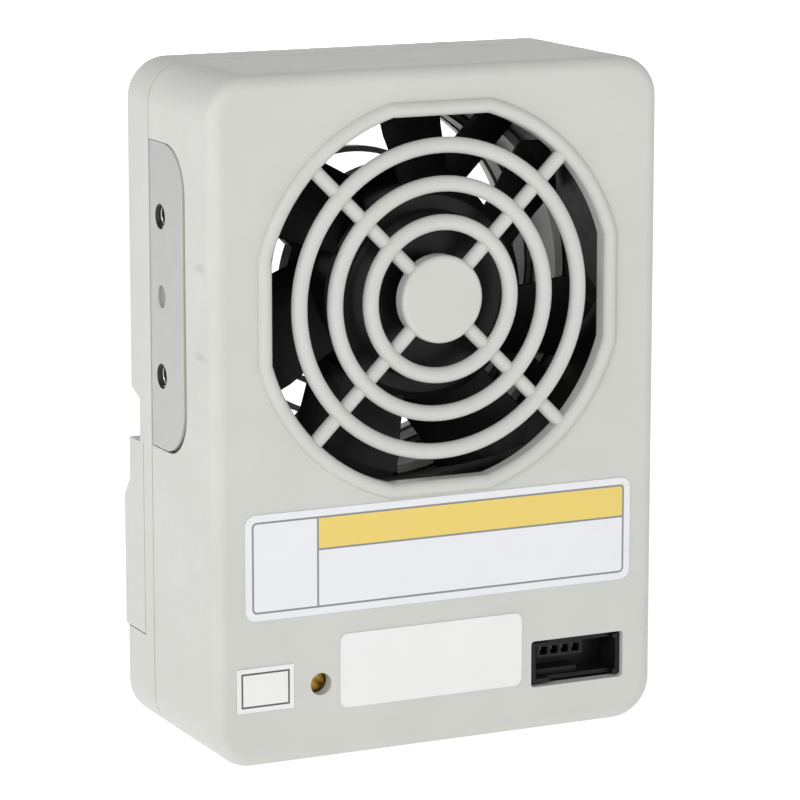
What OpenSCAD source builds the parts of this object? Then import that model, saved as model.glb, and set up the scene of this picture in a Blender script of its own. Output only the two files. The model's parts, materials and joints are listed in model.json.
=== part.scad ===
// Ionizing blower: a small fan that blows air over four high-voltage needles.
// X is the width, Y runs with the air from the intake face to the outlet face, Z is up.
// The origin is at the middle of the underside. Lengths are in millimetres.

/* [Case] */
// Width of the case
case_w = 80; // [80:0.5:84]
// Height of the case
case_h = 112; // [111.5:0.5:118]
// Depth from the intake face to the raised part of the outlet face
case_d = 38.5; // [38.3:0.1:41]
// Depth from the intake face to the outlet face round the air outlet
duct_d = 36; // [35.5:0.1:36.4]
// Depth of the intake half, up to the parting line
intake_d = 26; // [25.6:0.1:26.4]
// Wall of both mouldings
wall = 2.2; // [1.9:0.1:2.3]
// Radius of the four long corners
corner_r = 6.75; // [5:0.25:8]
// Rounding of the intake face's edges
intake_edge_r = 2.25; // [1.5:0.25:3]
// Rounding of the outlet face's edges
outlet_edge_r = 1.5; // [0.8:0.1:1.8]
// Width and depth of the shadow groove at the parting line
seam_gap = 0.25; // [0.15:0.05:0.4]
// Gap between the fan and the side walls
fan_side_gap = 2.8; // [2.7:0.1:3.2]
// Gap between the fan and the top wall
fan_top_gap = 0.4; // [0.3:0.1:0.8]

/* [Intake grille] */
// Width of the fan's rim that the intake face covers
opening_lip = 2.1; // [1.7:0.1:2.5]
// Depth of the opening's four flats, cut off its circle
flat_cut = 1.2; // [0.9:0.1:1.6]
// Radius of the half-round bead round the opening
bead_r = 1.25; // [1:0.05:1.4]
// Height of the bead above the intake face
bead_rise = 1; // [0.7:0.1:1.1]
// Radius of the round section of the guard rings
ring_r = 1.3; // [1.15:0.05:1.4]
// Distance between the guard rings
ring_pitch = 6.25; // [6:0.05:6.4]
// Radius of the round section of the spokes
spoke_r = 1.2; // [1:0.05:1.3]
// Radius of the disc in the middle of the guard
disc_r = 7.2; // [6.8:0.1:8.2]

/* [Side plates] */
// Thickness of the steel side plates
plate_t = 1.2; // [1:0.1:1.3]
// Length of the side plates, up and down
plate_len = 50.3; // [46:0.1:52]
// Reach of the side plates from the parting line towards the intake
plate_reach = 13.5; // [12.5:0.1:14]
// Radius of the side plates' two free corners
plate_corner_r = 7.5; // [5:0.5:9]
// Distance between the two threaded holes of a side plate
thread_pitch = 26.2; // [24:0.1:28]
// Radius of the threaded holes (M4 tapping size)
thread_r = 1.65; // [1.25:0.05:1.8]
// Length of thread, plate and pressed collar together
thread_len = 3.2; // [2.6:0.1:3.4]
// Radius of the plain hole between them
plain_hole_r = 1.9; // [1.5:0.05:2.2]
// Distance of the three holes from the parting line
plate_hole_inset = 4.6; // [4.2:0.1:5.4]

/* [Fan] */
// Depth of the fan frame
fan_depth = 15; // [14.8:0.1:15.2]
// Distance of the fan's screw holes from its sides
fan_hole_inset = 5; // [4.6:0.1:5.4]
// Wall between the fan frame's bore and its sides
bore_rim = 2; // [1.9:0.1:2.3]
// Gap between the blade tips and the bore
tip_gap = 0.7; // [0.5:0.1:1]
// Radius of the impeller's hub
hub_r = 17.6; // [17:0.1:18.2]
// Number of blades
blade_count = 7; // [5:1:9]
// Depth of the blades along the axis
blade_d = 10; // [9:0.1:10.6]
// Angle that one blade covers at the hub
blade_angle_hub = 46; // [40:1:48]
// Angle that one blade covers at the tip
blade_angle_tip = 30; // [26:1:36]
// Radius of the fan shaft
shaft_r = 1.5; // [1.25:0.05:1.6]
// Outer radius of the two ball bearings
bearing_r = 3.5; // [3.2:0.1:3.7]
// Width of each ball bearing
bearing_w = 3; // [2.5:0.1:3.2]

/* [Outlet and electrode cartridge] */
// Height of the finger notches' upper edge below the top
notch_top = 54.1; // [52:0.1:55]
// Height of the finger notches' lower edge below the top, where the grip band starts
notch_bottom = 63.4; // [62:0.1:64.5]
// Depth of the finger notches' floor from the intake face
notch_floor_d = 31.2; // [30.8:0.1:32]
// Height of the ramp's upper edge below the top
ramp_top = 70.4; // [70:0.1:71]
// Height of the ramp's lower edge below the top
ramp_bottom = 73.6; // [73:0.1:75]
// Height of the grip band's lower edge above the underside
band_low = 16; // [15:0.1:18]
// Step between the skirt's inside and the air outlet
outlet_lip = 1.8; // [1.7:0.1:2.2]
// Distance between the outlet guard's rings
outlet_ring_pitch = 5; // [4.7:0.05:5.1]
// Width of the outlet guard's rings and spokes
outlet_bar_w = 1; // [0.8:0.1:1.2]
// Wall of the skirt
skirt_wall = 1.4; // [1.2:0.1:1.5]
// Travel of the cartridge until its skirt leaves the guide hole
cartridge_travel = 9.5; // [6:0.5:9.5]
// Radius of the needles
needle_r = 0.5; // [0.3:0.05:0.6]
// Reach of the needle tips from the insulating ring towards the axis
needle_reach = 5.4; // [4.8:0.1:6]
// Tilt of the needles towards the outlet
needle_tilt = 20; // [10:1:26]

/* [Intake face fittings] */
// Width of the connector window
window_w = 17.3; // [17.1:0.1:18]
// Height of the connector window
window_h = 7.9; // [7.7:0.1:8.4]
// Distance of the connector window's right edge from the side of the case
window_side = 5.8; // [5.6:0.1:6.4]
// Height of the connector window's middle above the underside
window_z = 11.45; // [11:0.05:12.4]
// Radius of the trimmer's access hole
trimmer_hole_r = 1.85; // [1.75:0.05:2.2]
// Distance of the trimmer from the left side of the case
trimmer_side = 18.55; // [18:0.05:19]
// Height of the trimmer above the underside
trimmer_z = 12.7; // [12:0.1:14]
// Thickness of the three labels
label_t = 0.15; // [0.1:0.05:0.25]
// Margin between the wide label and the sides of the case
wide_label_side = 5.05; // [4.8:0.05:7]
// Height of the wide label
wide_label_h = 17.4; // [16:0.1:17.6]
// Gap between the wide label and the bead above it
wide_label_gap = 0.4; // [0.3:0.1:1]
// Width of the rating label
rating_label_w = 33.1; // [30:0.1:34]
// Height of the rating label
rating_label_h = 12.4; // [11:0.1:13]
// Width of the small label
small_label_w = 10; // [8:0.1:10.2]
// Height of the small label
small_label_h = 7.3; // [6:0.1:8]

/* [Circuit board] */
// Gap between the circuit board and the side walls
board_side_gap = 1.8; // [0.8:0.1:2.4]
// Gap between the circuit board and the fan
board_top_gap = 3; // [2.8:0.1:4.5]
// Thickness of the circuit board
board_t = 1.6; // [1.2:0.1:1.8]
// Space between the board and the intake wall
board_gap = 5.8; // [5.6:0.1:6.2]
// Width of the high-voltage module
module_w = 38; // [32:0.5:39]
// Height of the high-voltage module's lower edge above the board's
module_foot = 7.8; // [7.2:0.1:10]
// Depth of the high-voltage module
module_d = 13; // [10:0.5:13.5]
// Radius of the indicator light pipes
pipe_r = 1.5; // [1.2:0.1:1.8]
// Distance between the indicator light pipes
pipe_pitch = 8; // [6:0.5:10]

/* [Hidden] */
$fn = 64;
EPS = 0.02;
FIT = 0.3;
SEAT = 0.03;

// Places along the depth: the guard's rings stand proud of the intake face.
FACE_Y = -(case_d + ring_r) / 2 + ring_r;
WALL_Y = FACE_Y + wall;
SEAM_Y = FACE_Y + intake_d;
DUCT_Y = FACE_Y + duct_d;
OUT_Y = FACE_Y + case_d;
NOTCH_Y = FACE_Y + notch_floor_d;

// The fan fills the width; the openings before and behind it take their size from its bore.
FAN_SIZE = case_w - 2 * (wall + fan_side_gap);
FAN_PITCH = FAN_SIZE - 2 * fan_hole_inset;
BORE_R = FAN_SIZE / 2 - bore_rim;
OPENING_R = BORE_R - opening_lip;
OPENING_FLAT = OPENING_R - flat_cut;
SKIRT_R = BORE_R;

// Places up the height.
FAN_Z = case_h - wall - fan_top_gap - FAN_SIZE / 2;
FAN_LOW_Z = FAN_Z - FAN_SIZE / 2;
NOTCH_TOP_Z = case_h - notch_top;
NOTCH_LOW_Z = case_h - notch_bottom;
RAMP_TOP_Z = case_h - ramp_top;
RAMP_LOW_Z = case_h - ramp_bottom;
BAND_LOW_Z = band_low;

// The bulkhead carries the cartridge's guide hole and lies under the grip band.
BULK_T = 2;
BULK_Y = FACE_Y + 29.7;
TONGUE_T = 1;
TONGUE_L = 1.5;
TONGUE_GAP = 0.15;

// Bead and mitres of the intake opening.
BEAD_Y = FACE_Y - bead_rise + bead_r;
BEAD_ARC_R = OPENING_R + bead_r;
BEAD_FLAT = OPENING_FLAT + bead_r;
MITRE = acos(BEAD_FLAT / BEAD_ARC_R);
BEAD_TRIM = 0.05;

// Fan, from the bosses that it is screwed to.
FAN_BOSS_H = 2.4;
FAN_BOSS_R = 3.6;
FAN_Y0 = WALL_Y + FAN_BOSS_H;
FAN_Y1 = FAN_Y0 + fan_depth;
FLANGE_T = 3.5;
FAN_HOLE_R = 1.8;
FAN_PILOT_R = 1.25;
BASE_T = 3;
BASE_R = hub_r + 2.6;
STRUT_W = 5.4;
STRUT_D = 2.6;
STRUT_OFFSET = 5.4;
TUBE_WALL = 1;
TUBE_R = bearing_r + TUBE_WALL;
BASE_Y = FAN_Y1 - BASE_T;
BACK_SKIN = 1.2;
FRONT_BEARING_Y = BASE_Y - 2 * bearing_w - 2;
REAR_BEARING_Y = FAN_Y1 - BACK_SKIN - 1.4 - bearing_w;
HUB_Y0 = FAN_Y0 + 0.4;
HUB_CAP = 1.8;
HUB_WALL = 1.2;
HUB_Y1 = BASE_Y - 0.6;
YOKE_T = 0.9;
MAGNET_T = 2;
AIR_GAP = 0.5;
STATOR_R = hub_r - HUB_WALL - YOKE_T - MAGNET_T - AIR_GAP;
STATOR_Y0 = FRONT_BEARING_Y + 0.5;
STATOR_Y1 = BASE_Y - 2.4;
BLADE_TIP_R = BORE_R - tip_gap;
BLADE_GAP = 0.7;
BLADE_Y0 = BASE_Y - BLADE_GAP - blade_d;
BLADE_PHASE = 107;

// Window and trimmer in the lower part of the intake face.
WINDOW_X = case_w / 2 - window_side - window_w / 2;
TRIMMER_X = case_w / 2 - trimmer_side;

// Circuit board.
BOARD_Y0 = WALL_Y + board_gap;
BOARD_Y1 = BOARD_Y0 + board_t;
BOARD_W = case_w - 2 * (wall + board_side_gap);
BOARD_Z0 = wall + 1.2;
BOARD_Z1 = FAN_LOW_Z - board_top_gap;
BOARD_BOSS_R = 2.6;
BOSS_INSET = 4.5;
BOSS_X = BOARD_W / 2 - BOSS_INSET;
SOCKET_BOSS_X = WINDOW_X - window_w / 2 - 3.6;
BOARD_BOSSES = [
    [-BOSS_X, BOARD_Z1 - 4.9], [BOSS_X, BOARD_Z1 - 4.9],
    [-BOSS_X, BOARD_Z0 + 4.2], [SOCKET_BOSS_X, BOARD_Z0 + 3.2]
];
BOARD_PILOT_R = 0.9;

// Two long screws join the mouldings; two hooks hold them at the top.
POST_X = case_w / 2 - wall - 3.9;
POST_Z = BOARD_Z1 - 10.9;
POST_R = 3;
POST_TOP_Y = SEAM_Y - 2.4;
CASE_SCREW_R = 1.5;
CASE_HEAD_R = 2.75;
CASE_HEAD_H = 1.9;
HOOK_X = case_w / 2 - 18;
HOOK_W = 8;
HOOK_T = 1;
HOOK_L = 5;
HOOK_NUB = 0.6;

// Electrode cartridge.
PLATE_T = 2.2;
PLATE_Y = DUCT_Y - PLATE_T;
COVER_W = case_w - 2 * wall - 2 * FIT;
SKIRT_Y0 = BULK_Y + 0.2 - cartridge_travel;
SKIRT_BORE = SKIRT_R - skirt_wall;
OUTLET_R = SKIRT_BORE - outlet_lip;
NOTCH_REACH = 7;
REST_X = case_w / 2 - 8;
REST_Z = case_h - 8;
ARM_RING_T = 1.7;
ARM_RING_Y = FACE_Y + 28.4;
ARM_RING_D = 4;
ARM_RING_BORE = SKIRT_BORE - ARM_RING_T;
NEEDLE_TIP_R = ARM_RING_BORE - needle_reach;
SOCKET_L = 4;
BUS_W = 0.8;
NEEDLE_Y = ARM_RING_Y + ARM_RING_D / 2;
SOCKET_R = needle_r + 0.4;
ARM_R = 1.5;
PIPE_Z = 6.4;

// ---------------------------------------------------------------- helpers

// A flat outline, drawn as X and Z, given a depth from y0 to y1.
module along_y(y0, y1) {
    translate([0, y1, 0]) rotate([90, 0, 0]) linear_extrude(y1 - y0) children();
}

// A round bar along Y.
module rod_y(x, z, r, y0, y1) {
    translate([x, y1, z]) rotate([90, 0, 0]) cylinder(r = r, h = y1 - y0);
}

// A ring or disc turned about the fan's axis from a profile of radius and Y.
module turned(angle = 360) {
    translate([0, 0, FAN_Z]) rotate([-90, 0, 0]) rotate_extrude(angle = angle) children();
}

// A tube about the fan's axis.
module tube_y(r0, r1, y0, y1) {
    turned() translate([r0, y0]) square([r1 - r0, y1 - y0]);
}

module box(x0, x1, y0, y1, z0, z1) {
    translate([x0, y0, z0]) cube([x1 - x0, y1 - y0, z1 - z0]);
}

// A rectangle with round corners, its middle on the origin.
module round_rect(w, h, r) {
    square([w - 2 * r, h], center = true);
    square([w, h - 2 * r], center = true);
    for (x = [-1, 1], z = [-1, 1]) translate([x * (w / 2 - r), z * (h / 2 - r)]) circle(r);
}

// The case's outline from the front, made smaller all round by inset.
module case_outline(inset = 0) {
    translate([0, case_h / 2]) round_rect(case_w - 2 * inset, case_h - 2 * inset, corner_r - inset);
}

// Half of a slab's section from its middle to one side, the corner towards `front` rounded by r.
module edge_section(half, depth, r) {
    square([half - r, depth]);
    translate([0, r]) square([half, depth - r]);
    translate([half - r, r]) circle(r);
}

// A block of the case's outline whose face at y = 0 has rounded edges; it reaches y = depth.
module rounded_block(depth, r) {
    straight_w = case_w / 2 - corner_r;
    straight_h = case_h / 2 - corner_r;
    translate([0, 0, case_h / 2]) {
        for (s = [-1, 1]) {
            // upright slab, its edges rounded at the left and right
            translate([0, 0, -straight_h]) linear_extrude(2 * straight_h)
                scale_x(s) edge_section(case_w / 2, depth, r);
            // level slab, its edges rounded at the top and bottom
            rotate([0, 90, 0]) translate([0, 0, -straight_w]) linear_extrude(2 * straight_w)
                scale_x(s) edge_section(case_h / 2, depth, r);
        }
        for (x = [-1, 1], z = [-1, 1])
            translate([x * straight_w, 0, z * straight_h])
                corner_quarter(x, z) edge_section(corner_r, depth, r);
    }
}

module scale_x(s) {
    if (s > 0) children();
    else mirror([1, 0, 0]) children();
}

// A quarter turn of a section about Y, in the quadrant of the signs x and z.
module corner_quarter(x, z) {
    start = x > 0 ? (z > 0 ? -90 : 0) : (z > 0 ? 180 : 90);
    rotate([0, start, 0]) rotate([-90, 0, 0]) rotate_extrude(angle = 90) children();
}

// The same block turned round: its rounded face lies at y1 and it reaches back to y0.
module outlet_block(y0, y1) {
    translate([0, y1, 0]) mirror([0, 1, 0]) rounded_block(y1 - y0, outlet_edge_r);
}

// The intake opening: a circle cut off by four flats.
module opening_shape(r, flat, y0, y1) {
    intersection() {
        rod_y(0, FAN_Z, r, y0, y1);
        box(-flat, flat, y0, y1, FAN_Z - flat, FAN_Z + flat);
    }
}

// A screw along Y with a pan head and a cross recess; its head lies under head_y, towards +Y.
module screw_y(x, z, head_y, head_r, head_h, shank_r, length) {
    difference() {
        union() {
            rod_y(x, z, head_r, head_y, head_y + head_h);
            rod_y(x, z, shank_r, head_y - length, head_y);
        }
        for (a = [0, 90])
            translate([x, head_y + head_h, z]) rotate([0, a, 0])
                cube([head_r * 1.2, head_h, 0.5], center = true);
    }
}

// ---------------------------------------------------------------- case

// One side plate's outline: straight at the parting line, two round corners at the free edge.
module plate_outline(grow = 0) {
    r = plate_corner_r + grow;
    y0 = SEAM_Y - plate_reach - grow;
    z0 = FAN_Z - plate_len / 2 - grow;
    z1 = FAN_Z + plate_len / 2 + grow;
    translate([y0 + r, z0]) square([SEAM_Y - y0 - r, z1 - z0]);
    translate([y0, z0 + r]) square([SEAM_Y - y0, z1 - z0 - 2 * r]);
    intersection() {
        for (z = [z0 + r, z1 - r]) translate([y0 + r, z]) circle(r);
        translate([y0, z0]) square([SEAM_Y - y0, z1 - z0]);
    }
}

// An outline drawn as Y and Z, given a thickness from x0 to x1.
module along_x(x0, x1) {
    translate([x0, 0, 0]) rotate([90, 0, 90]) linear_extrude(x1 - x0) children();
}

// A round bar along X.
module rod_x(y, z, r, x0, x1) {
    translate([x0, y, z]) rotate([0, 90, 0]) cylinder(r = r, h = x1 - x0);
}

RECESS_GAP = 0.15;
PLATE_SINK = 0.1;
LEDGE_W = 1.6;
PLATE_HOLE_Y = SEAM_Y - plate_hole_inset;
PLATE_IN_X = case_w / 2 - PLATE_SINK - plate_t;
THREADS = [FAN_Z - thread_pitch / 2, FAN_Z + thread_pitch / 2];
COLLAR_R = 3;
PAD_R = 2.9;
PAD_T = 2.2;
PEG_SINK = 0.5;
PEG_FIT = 0.05;
LEAD_IN = 0.4;

// The recess for the right-hand plate, with a wider gap beside the plate's free edge.
module plate_recess() {
    x0 = PLATE_IN_X - EPS / 2;
    x1 = case_w / 2 + 1;
    along_x(x0, x1) plate_outline(RECESS_GAP);
    translate([0, -LEDGE_W, 0]) along_x(x0, x1) plate_outline(RECESS_GAP);
    for (z = THREADS) rod_x(PLATE_HOLE_Y, z, COLLAR_R + 0.25, x0 - 3, x1);
}

module intake_grille() {
    for (i = [2 : 4]) turned() translate([i * ring_pitch, FACE_Y]) circle(ring_r);
    for (a = [45 : 90 : 315])
        translate([0, FACE_Y + 0.8, FAN_Z]) rotate([0, a, 0])
            rod_x(0, 0, spoke_r, disc_r - 1.5, OPENING_R + 0.6);
    turned() intake_disc_section();
}

// Section of the guard's disc, with a soft front edge.
module intake_disc_section() {
    soft = 0.8;
    y0 = FACE_Y - 1.1;
    y1 = FACE_Y + 1.7;
    translate([0, y0]) square([disc_r - soft, y1 - y0]);
    translate([0, y0 + soft]) square([disc_r, y1 - y0 - soft]);
    translate([disc_r - soft, y0 + soft]) circle(soft);
}

// Half-round bead: four arcs and four straights that meet at mitres.
module intake_bead() {
    for (i = [0 : 3]) rotate_about_fan(90 * i) {
        rotate_about_fan(MITRE) turned(90 - 2 * MITRE) translate([BEAD_ARC_R, BEAD_Y]) circle(bead_r);
        intersection() {
            translate([BEAD_FLAT, BEAD_Y, FAN_Z - OPENING_R]) cylinder(r = bead_r, h = 2 * OPENING_R);
            translate([0, 0, FAN_Z]) along_y(BEAD_Y - 2 * bead_r, BEAD_Y + 2 * bead_r)
                polygon([[0, 0], [case_w, -case_w * tan(MITRE)], [case_w, case_w * tan(MITRE)]]);
        }
    }
}

module rotate_about_fan(a) {
    translate([0, 0, FAN_Z]) rotate([0, a, 0]) translate([0, 0, -FAN_Z]) children();
}

// Moulded intake half: face with the air guard, four walls, bosses and the fan's shelf.
module intake_housing() {
    color([0.80, 0.80, 0.77])
    difference() {
        union() {
            difference() {
                union() {
                    translate([0, FACE_Y, 0]) rounded_block(intake_d - seam_gap, intake_edge_r);
                    along_y(SEAM_Y - seam_gap, SEAM_Y) case_outline(seam_gap);
                }
                along_y(WALL_Y, SEAM_Y + 1) case_outline(wall);
            }
            intake_bosses();
            intake_bead();
        }
        opening_shape(OPENING_R + BEAD_TRIM, OPENING_FLAT + BEAD_TRIM, FACE_Y - 5, WALL_Y + EPS);
        intake_cuts();
    }
    color([0.80, 0.80, 0.77]) intake_grille();
    // pegs that stand in the side plates' plain holes
    color([0.80, 0.80, 0.77]) for (s = [0, 1]) mirror([s, 0, 0])
        rod_x(PLATE_HOLE_Y, FAN_Z, plain_hole_r - PEG_FIT,
              PLATE_IN_X - PAD_T, PLATE_IN_X + plate_t - PEG_SINK);
}

module intake_bosses() {
    root = WALL_Y - EPS;
    for (x = [-1, 1] * FAN_PITCH / 2, z = [-1, 1] * FAN_PITCH / 2)
        rod_y(x, FAN_Z + z, FAN_BOSS_R, root, FAN_Y0);
    for (p = BOARD_BOSSES) rod_y(p[0], p[1], BOARD_BOSS_R, root, BOARD_Y0);
    for (s = [-1, 1]) {
        rod_y(s * POST_X, POST_Z, POST_R, root, POST_TOP_Y);
        // rib that ties the screw post to the side wall
        box(min(s * POST_X, s * (case_w / 2 - wall / 2)), max(s * POST_X, s * (case_w / 2 - wall / 2)),
            root, POST_TOP_Y - 2, POST_Z - 0.8, POST_Z + 0.8);
        // pad behind the side plate's plain hole
        mirror([s < 0 ? 1 : 0, 0, 0]) rod_x(PLATE_HOLE_Y, FAN_Z, PAD_R, PLATE_IN_X - PAD_T, PLATE_IN_X - EPS);
    }
    // shelf under the fan
    shelf_z = FAN_LOW_Z - 0.2;
    box(-(case_w / 2 - wall + EPS), case_w / 2 - wall + EPS, root, 0, shelf_z - 1.2, shelf_z);
}

module intake_cuts() {
    for (x = [-1, 1] * FAN_PITCH / 2, z = [-1, 1] * FAN_PITCH / 2)
        rod_y(x, FAN_Z + z, FAN_PILOT_R, FAN_Y0 - 3.4, FAN_Y0 + 1);
    for (p = BOARD_BOSSES) rod_y(p[0], p[1], BOARD_PILOT_R, BOARD_Y0 - 5, BOARD_Y0 + 1);
    for (s = [-1, 1]) rod_y(s * POST_X, POST_Z, CASE_SCREW_R - 0.25, POST_TOP_Y - 12, POST_TOP_Y + 1);
    plate_recess();
    mirror([1, 0, 0]) plate_recess();
    // connector window and trimmer hole
    translate([WINDOW_X, 0, window_z]) along_y(FACE_Y - 1, WALL_Y + 1) round_rect(window_w, window_h, 0.6);
    rod_y(-TRIMMER_X, trimmer_z, trimmer_hole_r, FACE_Y - 1, WALL_Y + 1);
    // slots for the two hooks of the outlet cover
    for (s = [-1, 1])
        box(s * HOOK_X - HOOK_W / 2 - FIT, s * HOOK_X + HOOK_W / 2 + FIT,
            SEAM_Y - HOOK_L - 0.2, SEAM_Y - HOOK_L + 1.6, case_h - wall - 1, case_h - wall + 1);
}

// Moulded outlet half: rim, bulkhead with the cartridge's guide hole, and the raised foot.
module outlet_cover() {
    skin = wall;
    color([0.81, 0.81, 0.78])
    difference() {
        union() {
            // upper part, round the cartridge
            intersection() {
                outlet_block(SEAM_Y, DUCT_Y);
                box(-case_w, case_w, SEAM_Y, DUCT_Y, NOTCH_LOW_Z, case_h + 1);
            }
            // middle part, under the grip band
            box(-case_w / 2, case_w / 2, SEAM_Y, BULK_Y, BAND_LOW_Z, NOTCH_LOW_Z);
            // raised foot
            intersection() {
                outlet_block(SEAM_Y, OUT_Y);
                box(-case_w, case_w, SEAM_Y, OUT_Y, -1, BAND_LOW_Z);
            }
            outlet_tongue();
        }
        // inside, in front of the bulkhead
        along_y(SEAM_Y - TONGUE_L - 1, BULK_Y - BULK_T) case_outline(wall + TONGUE_GAP + TONGUE_T);
        // room for the cartridge above the bulkhead
        intersection() {
            along_y(BULK_Y, DUCT_Y + 1) case_outline(wall);
            box(-case_w, case_w, BULK_Y - 1, DUCT_Y + 2, NOTCH_LOW_Z - 1, case_h);
        }
        // inside of the raised foot
        intersection() {
            along_y(BULK_Y - EPS, OUT_Y - skin) case_outline(wall);
            box(-case_w, case_w, BULK_Y - 1, OUT_Y, 0, BAND_LOW_Z - skin);
        }
        finger_notch_cut();
        rod_y(0, FAN_Z, SKIRT_R + FIT, BULK_Y - BULK_T - 1, BULK_Y + 1);
        for (s = [-1, 1]) {
            rod_y(s * POST_X, POST_Z, CASE_SCREW_R + 0.2, POST_TOP_Y - 1, BULK_Y + 1);
            rod_y(s * POST_X, POST_Z, CASE_HEAD_R + 0.4, BULK_Y - CASE_HEAD_H - 0.2, BULK_Y + 1);
        }
        for (i = [-1 : 1]) rod_y(i * pipe_pitch, PIPE_Z, pipe_r + 0.1, BULK_Y - BULK_T - 1, OUT_Y + 1);
    }
    color([0.81, 0.81, 0.78]) outlet_inner_parts();
}

// The notch on each side, with a sloping upper end, where fingers reach the grip band.
module finger_notch_cut() {
    slope = 2;
    for (s = [0, 1]) mirror([s, 0, 0]) along_x(case_w / 2 - wall - 1, case_w / 2 + 1)
        polygon([
            [NOTCH_Y, NOTCH_LOW_Z - 1], [NOTCH_Y, NOTCH_TOP_Z - slope],
            [DUCT_Y, NOTCH_TOP_Z], [DUCT_Y + 1, NOTCH_TOP_Z], [DUCT_Y + 1, NOTCH_LOW_Z - 1]
        ]);
}

// Tongue that centres the cover in the intake housing.
module outlet_tongue() {
    along_y(SEAM_Y - TONGUE_L, SEAM_Y) case_outline(wall + TONGUE_GAP);
}

module outlet_inner_parts() {
    // screw sleeves that stand on the housing's posts
    for (s = [-1, 1]) difference() {
        rod_y(s * POST_X, POST_Z, CASE_HEAD_R + 1.2, POST_TOP_Y, BULK_Y - BULK_T);
        rod_y(s * POST_X, POST_Z, CASE_SCREW_R + 0.2, POST_TOP_Y - 1, BULK_Y);
        rod_y(s * POST_X, POST_Z, CASE_HEAD_R + 0.4, BULK_Y - CASE_HEAD_H - 0.2, BULK_Y + 1);
    }
    // hooks with nubs that snap into the slots of the top wall
    hook_z = case_h - wall - TONGUE_GAP;
    for (s = [-1, 1]) {
        x0 = s * HOOK_X - HOOK_W / 2;
        box(x0, x0 + HOOK_W, SEAM_Y - HOOK_L, SEAM_Y - 0.4, hook_z - HOOK_T, hook_z);
        box(x0, x0 + HOOK_W, SEAM_Y - HOOK_L, SEAM_Y - HOOK_L + 1.4, hook_z - HOOK_T, hook_z + HOOK_NUB);
    }
    // rests under the cartridge's plate
    for (s = [-1, 1]) rod_y(s * REST_X, REST_Z, 2, BULK_Y - 0.5, PLATE_Y - 0.1);
}

// Stainless side plate with two pressed and tapped collars and a plain hole.
module side_plate() {
    difference() {
        union() {
            along_x(PLATE_IN_X, PLATE_IN_X + plate_t) plate_outline();
            for (z = THREADS)
                rod_x(PLATE_HOLE_Y, z, COLLAR_R, PLATE_IN_X + plate_t - thread_len, PLATE_IN_X + plate_t / 2);
        }
        for (z = THREADS) {
            rod_x(PLATE_HOLE_Y, z, thread_r, PLATE_IN_X - thread_len, case_w / 2 + 1);
            // lead-in of the thread
            translate([PLATE_IN_X + plate_t - LEAD_IN, PLATE_HOLE_Y, z]) rotate([0, 90, 0])
                cylinder(r1 = thread_r, r2 = thread_r + LEAD_IN, h = LEAD_IN);
        }
        rod_x(PLATE_HOLE_Y, FAN_Z, plain_hole_r, PLATE_IN_X - 1, case_w / 2 + 1);
    }
}

module side_plate_right() {
    color("silver") side_plate();
}

module side_plate_left() {
    color("silver") mirror([1, 0, 0]) side_plate();
}

// ---------------------------------------------------------------- fan

// Screws from the outlet side through the bulkhead into the housing's posts.
module case_screws() {
    color([0.72, 0.73, 0.75])
    for (s = [-1, 1])
        screw_y(s * POST_X, POST_Z, BULK_Y - CASE_HEAD_H - 0.2,
                CASE_HEAD_R, CASE_HEAD_H, CASE_SCREW_R - 0.25, 12);
}

// Square frame: two flanges, the barrel, the struts and the motor base with its bearing tube.
module fan_frame() {
    color([0.10, 0.10, 0.11]) difference() {
        union() {
            for (y = [FAN_Y0, FAN_Y1 - FLANGE_T])
                translate([0, 0, FAN_Z]) along_y(y, y + FLANGE_T) round_rect(FAN_SIZE, FAN_SIZE, 3);
            tube_y(BORE_R - 1, BORE_R + 1.6, FAN_Y0 + 1, FAN_Y1 - 1);
            for (x = [-1, 1] * FAN_PITCH / 2, z = [-1, 1] * FAN_PITCH / 2)
                rod_y(x, FAN_Z + z, 3.4, FAN_Y0 + 1, FAN_Y1 - 1);
        }
        rod_y(0, FAN_Z, BORE_R, FAN_Y0 - 1, FAN_Y1 + 1);
        // flared lips at both ends of the bore
        turned() polygon([
            [0, FAN_Y0 - 1], [BORE_R + 1.4, FAN_Y0 - 1], [BORE_R + 1.1, FAN_Y0],
            [BORE_R - 0.6, FAN_Y0 + 2.4], [0, FAN_Y0 + 2.4]
        ]);
        for (x = [-1, 1] * FAN_PITCH / 2, z = [-1, 1] * FAN_PITCH / 2)
            rod_y(x, FAN_Z + z, FAN_HOLE_R, FAN_Y0 - 1, FAN_Y1 + 1);
    }
    color([0.10, 0.10, 0.11]) difference() {
        union() {
            rod_y(0, FAN_Z, BASE_R, BASE_Y, FAN_Y1);
            rod_y(0, FAN_Z, TUBE_R, FRONT_BEARING_Y, BASE_Y + 1);
            // struts that leave the base beside its middle and end at the corners of the frame
            for (a = [45 : 90 : 315]) rotate_about_fan(-a)
                box(BASE_R - 4, BORE_R + 0.8, FAN_Y1 - STRUT_D, FAN_Y1 - 0.2,
                    FAN_Z + STRUT_OFFSET - STRUT_W / 2, FAN_Z + STRUT_OFFSET + STRUT_W / 2);
        }
        rod_y(0, FAN_Z, bearing_r, FRONT_BEARING_Y - 1, FAN_Y1 - BACK_SKIN);
    }
}

module fan_screws() {
    color([0.72, 0.73, 0.75])
    for (x = [-1, 1] * FAN_PITCH / 2, z = [-1, 1] * FAN_PITCH / 2)
        screw_y(x, FAN_Z + z, FAN_Y1, 2.7, 1.8, FAN_PILOT_R, fan_depth + 3);
}

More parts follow.
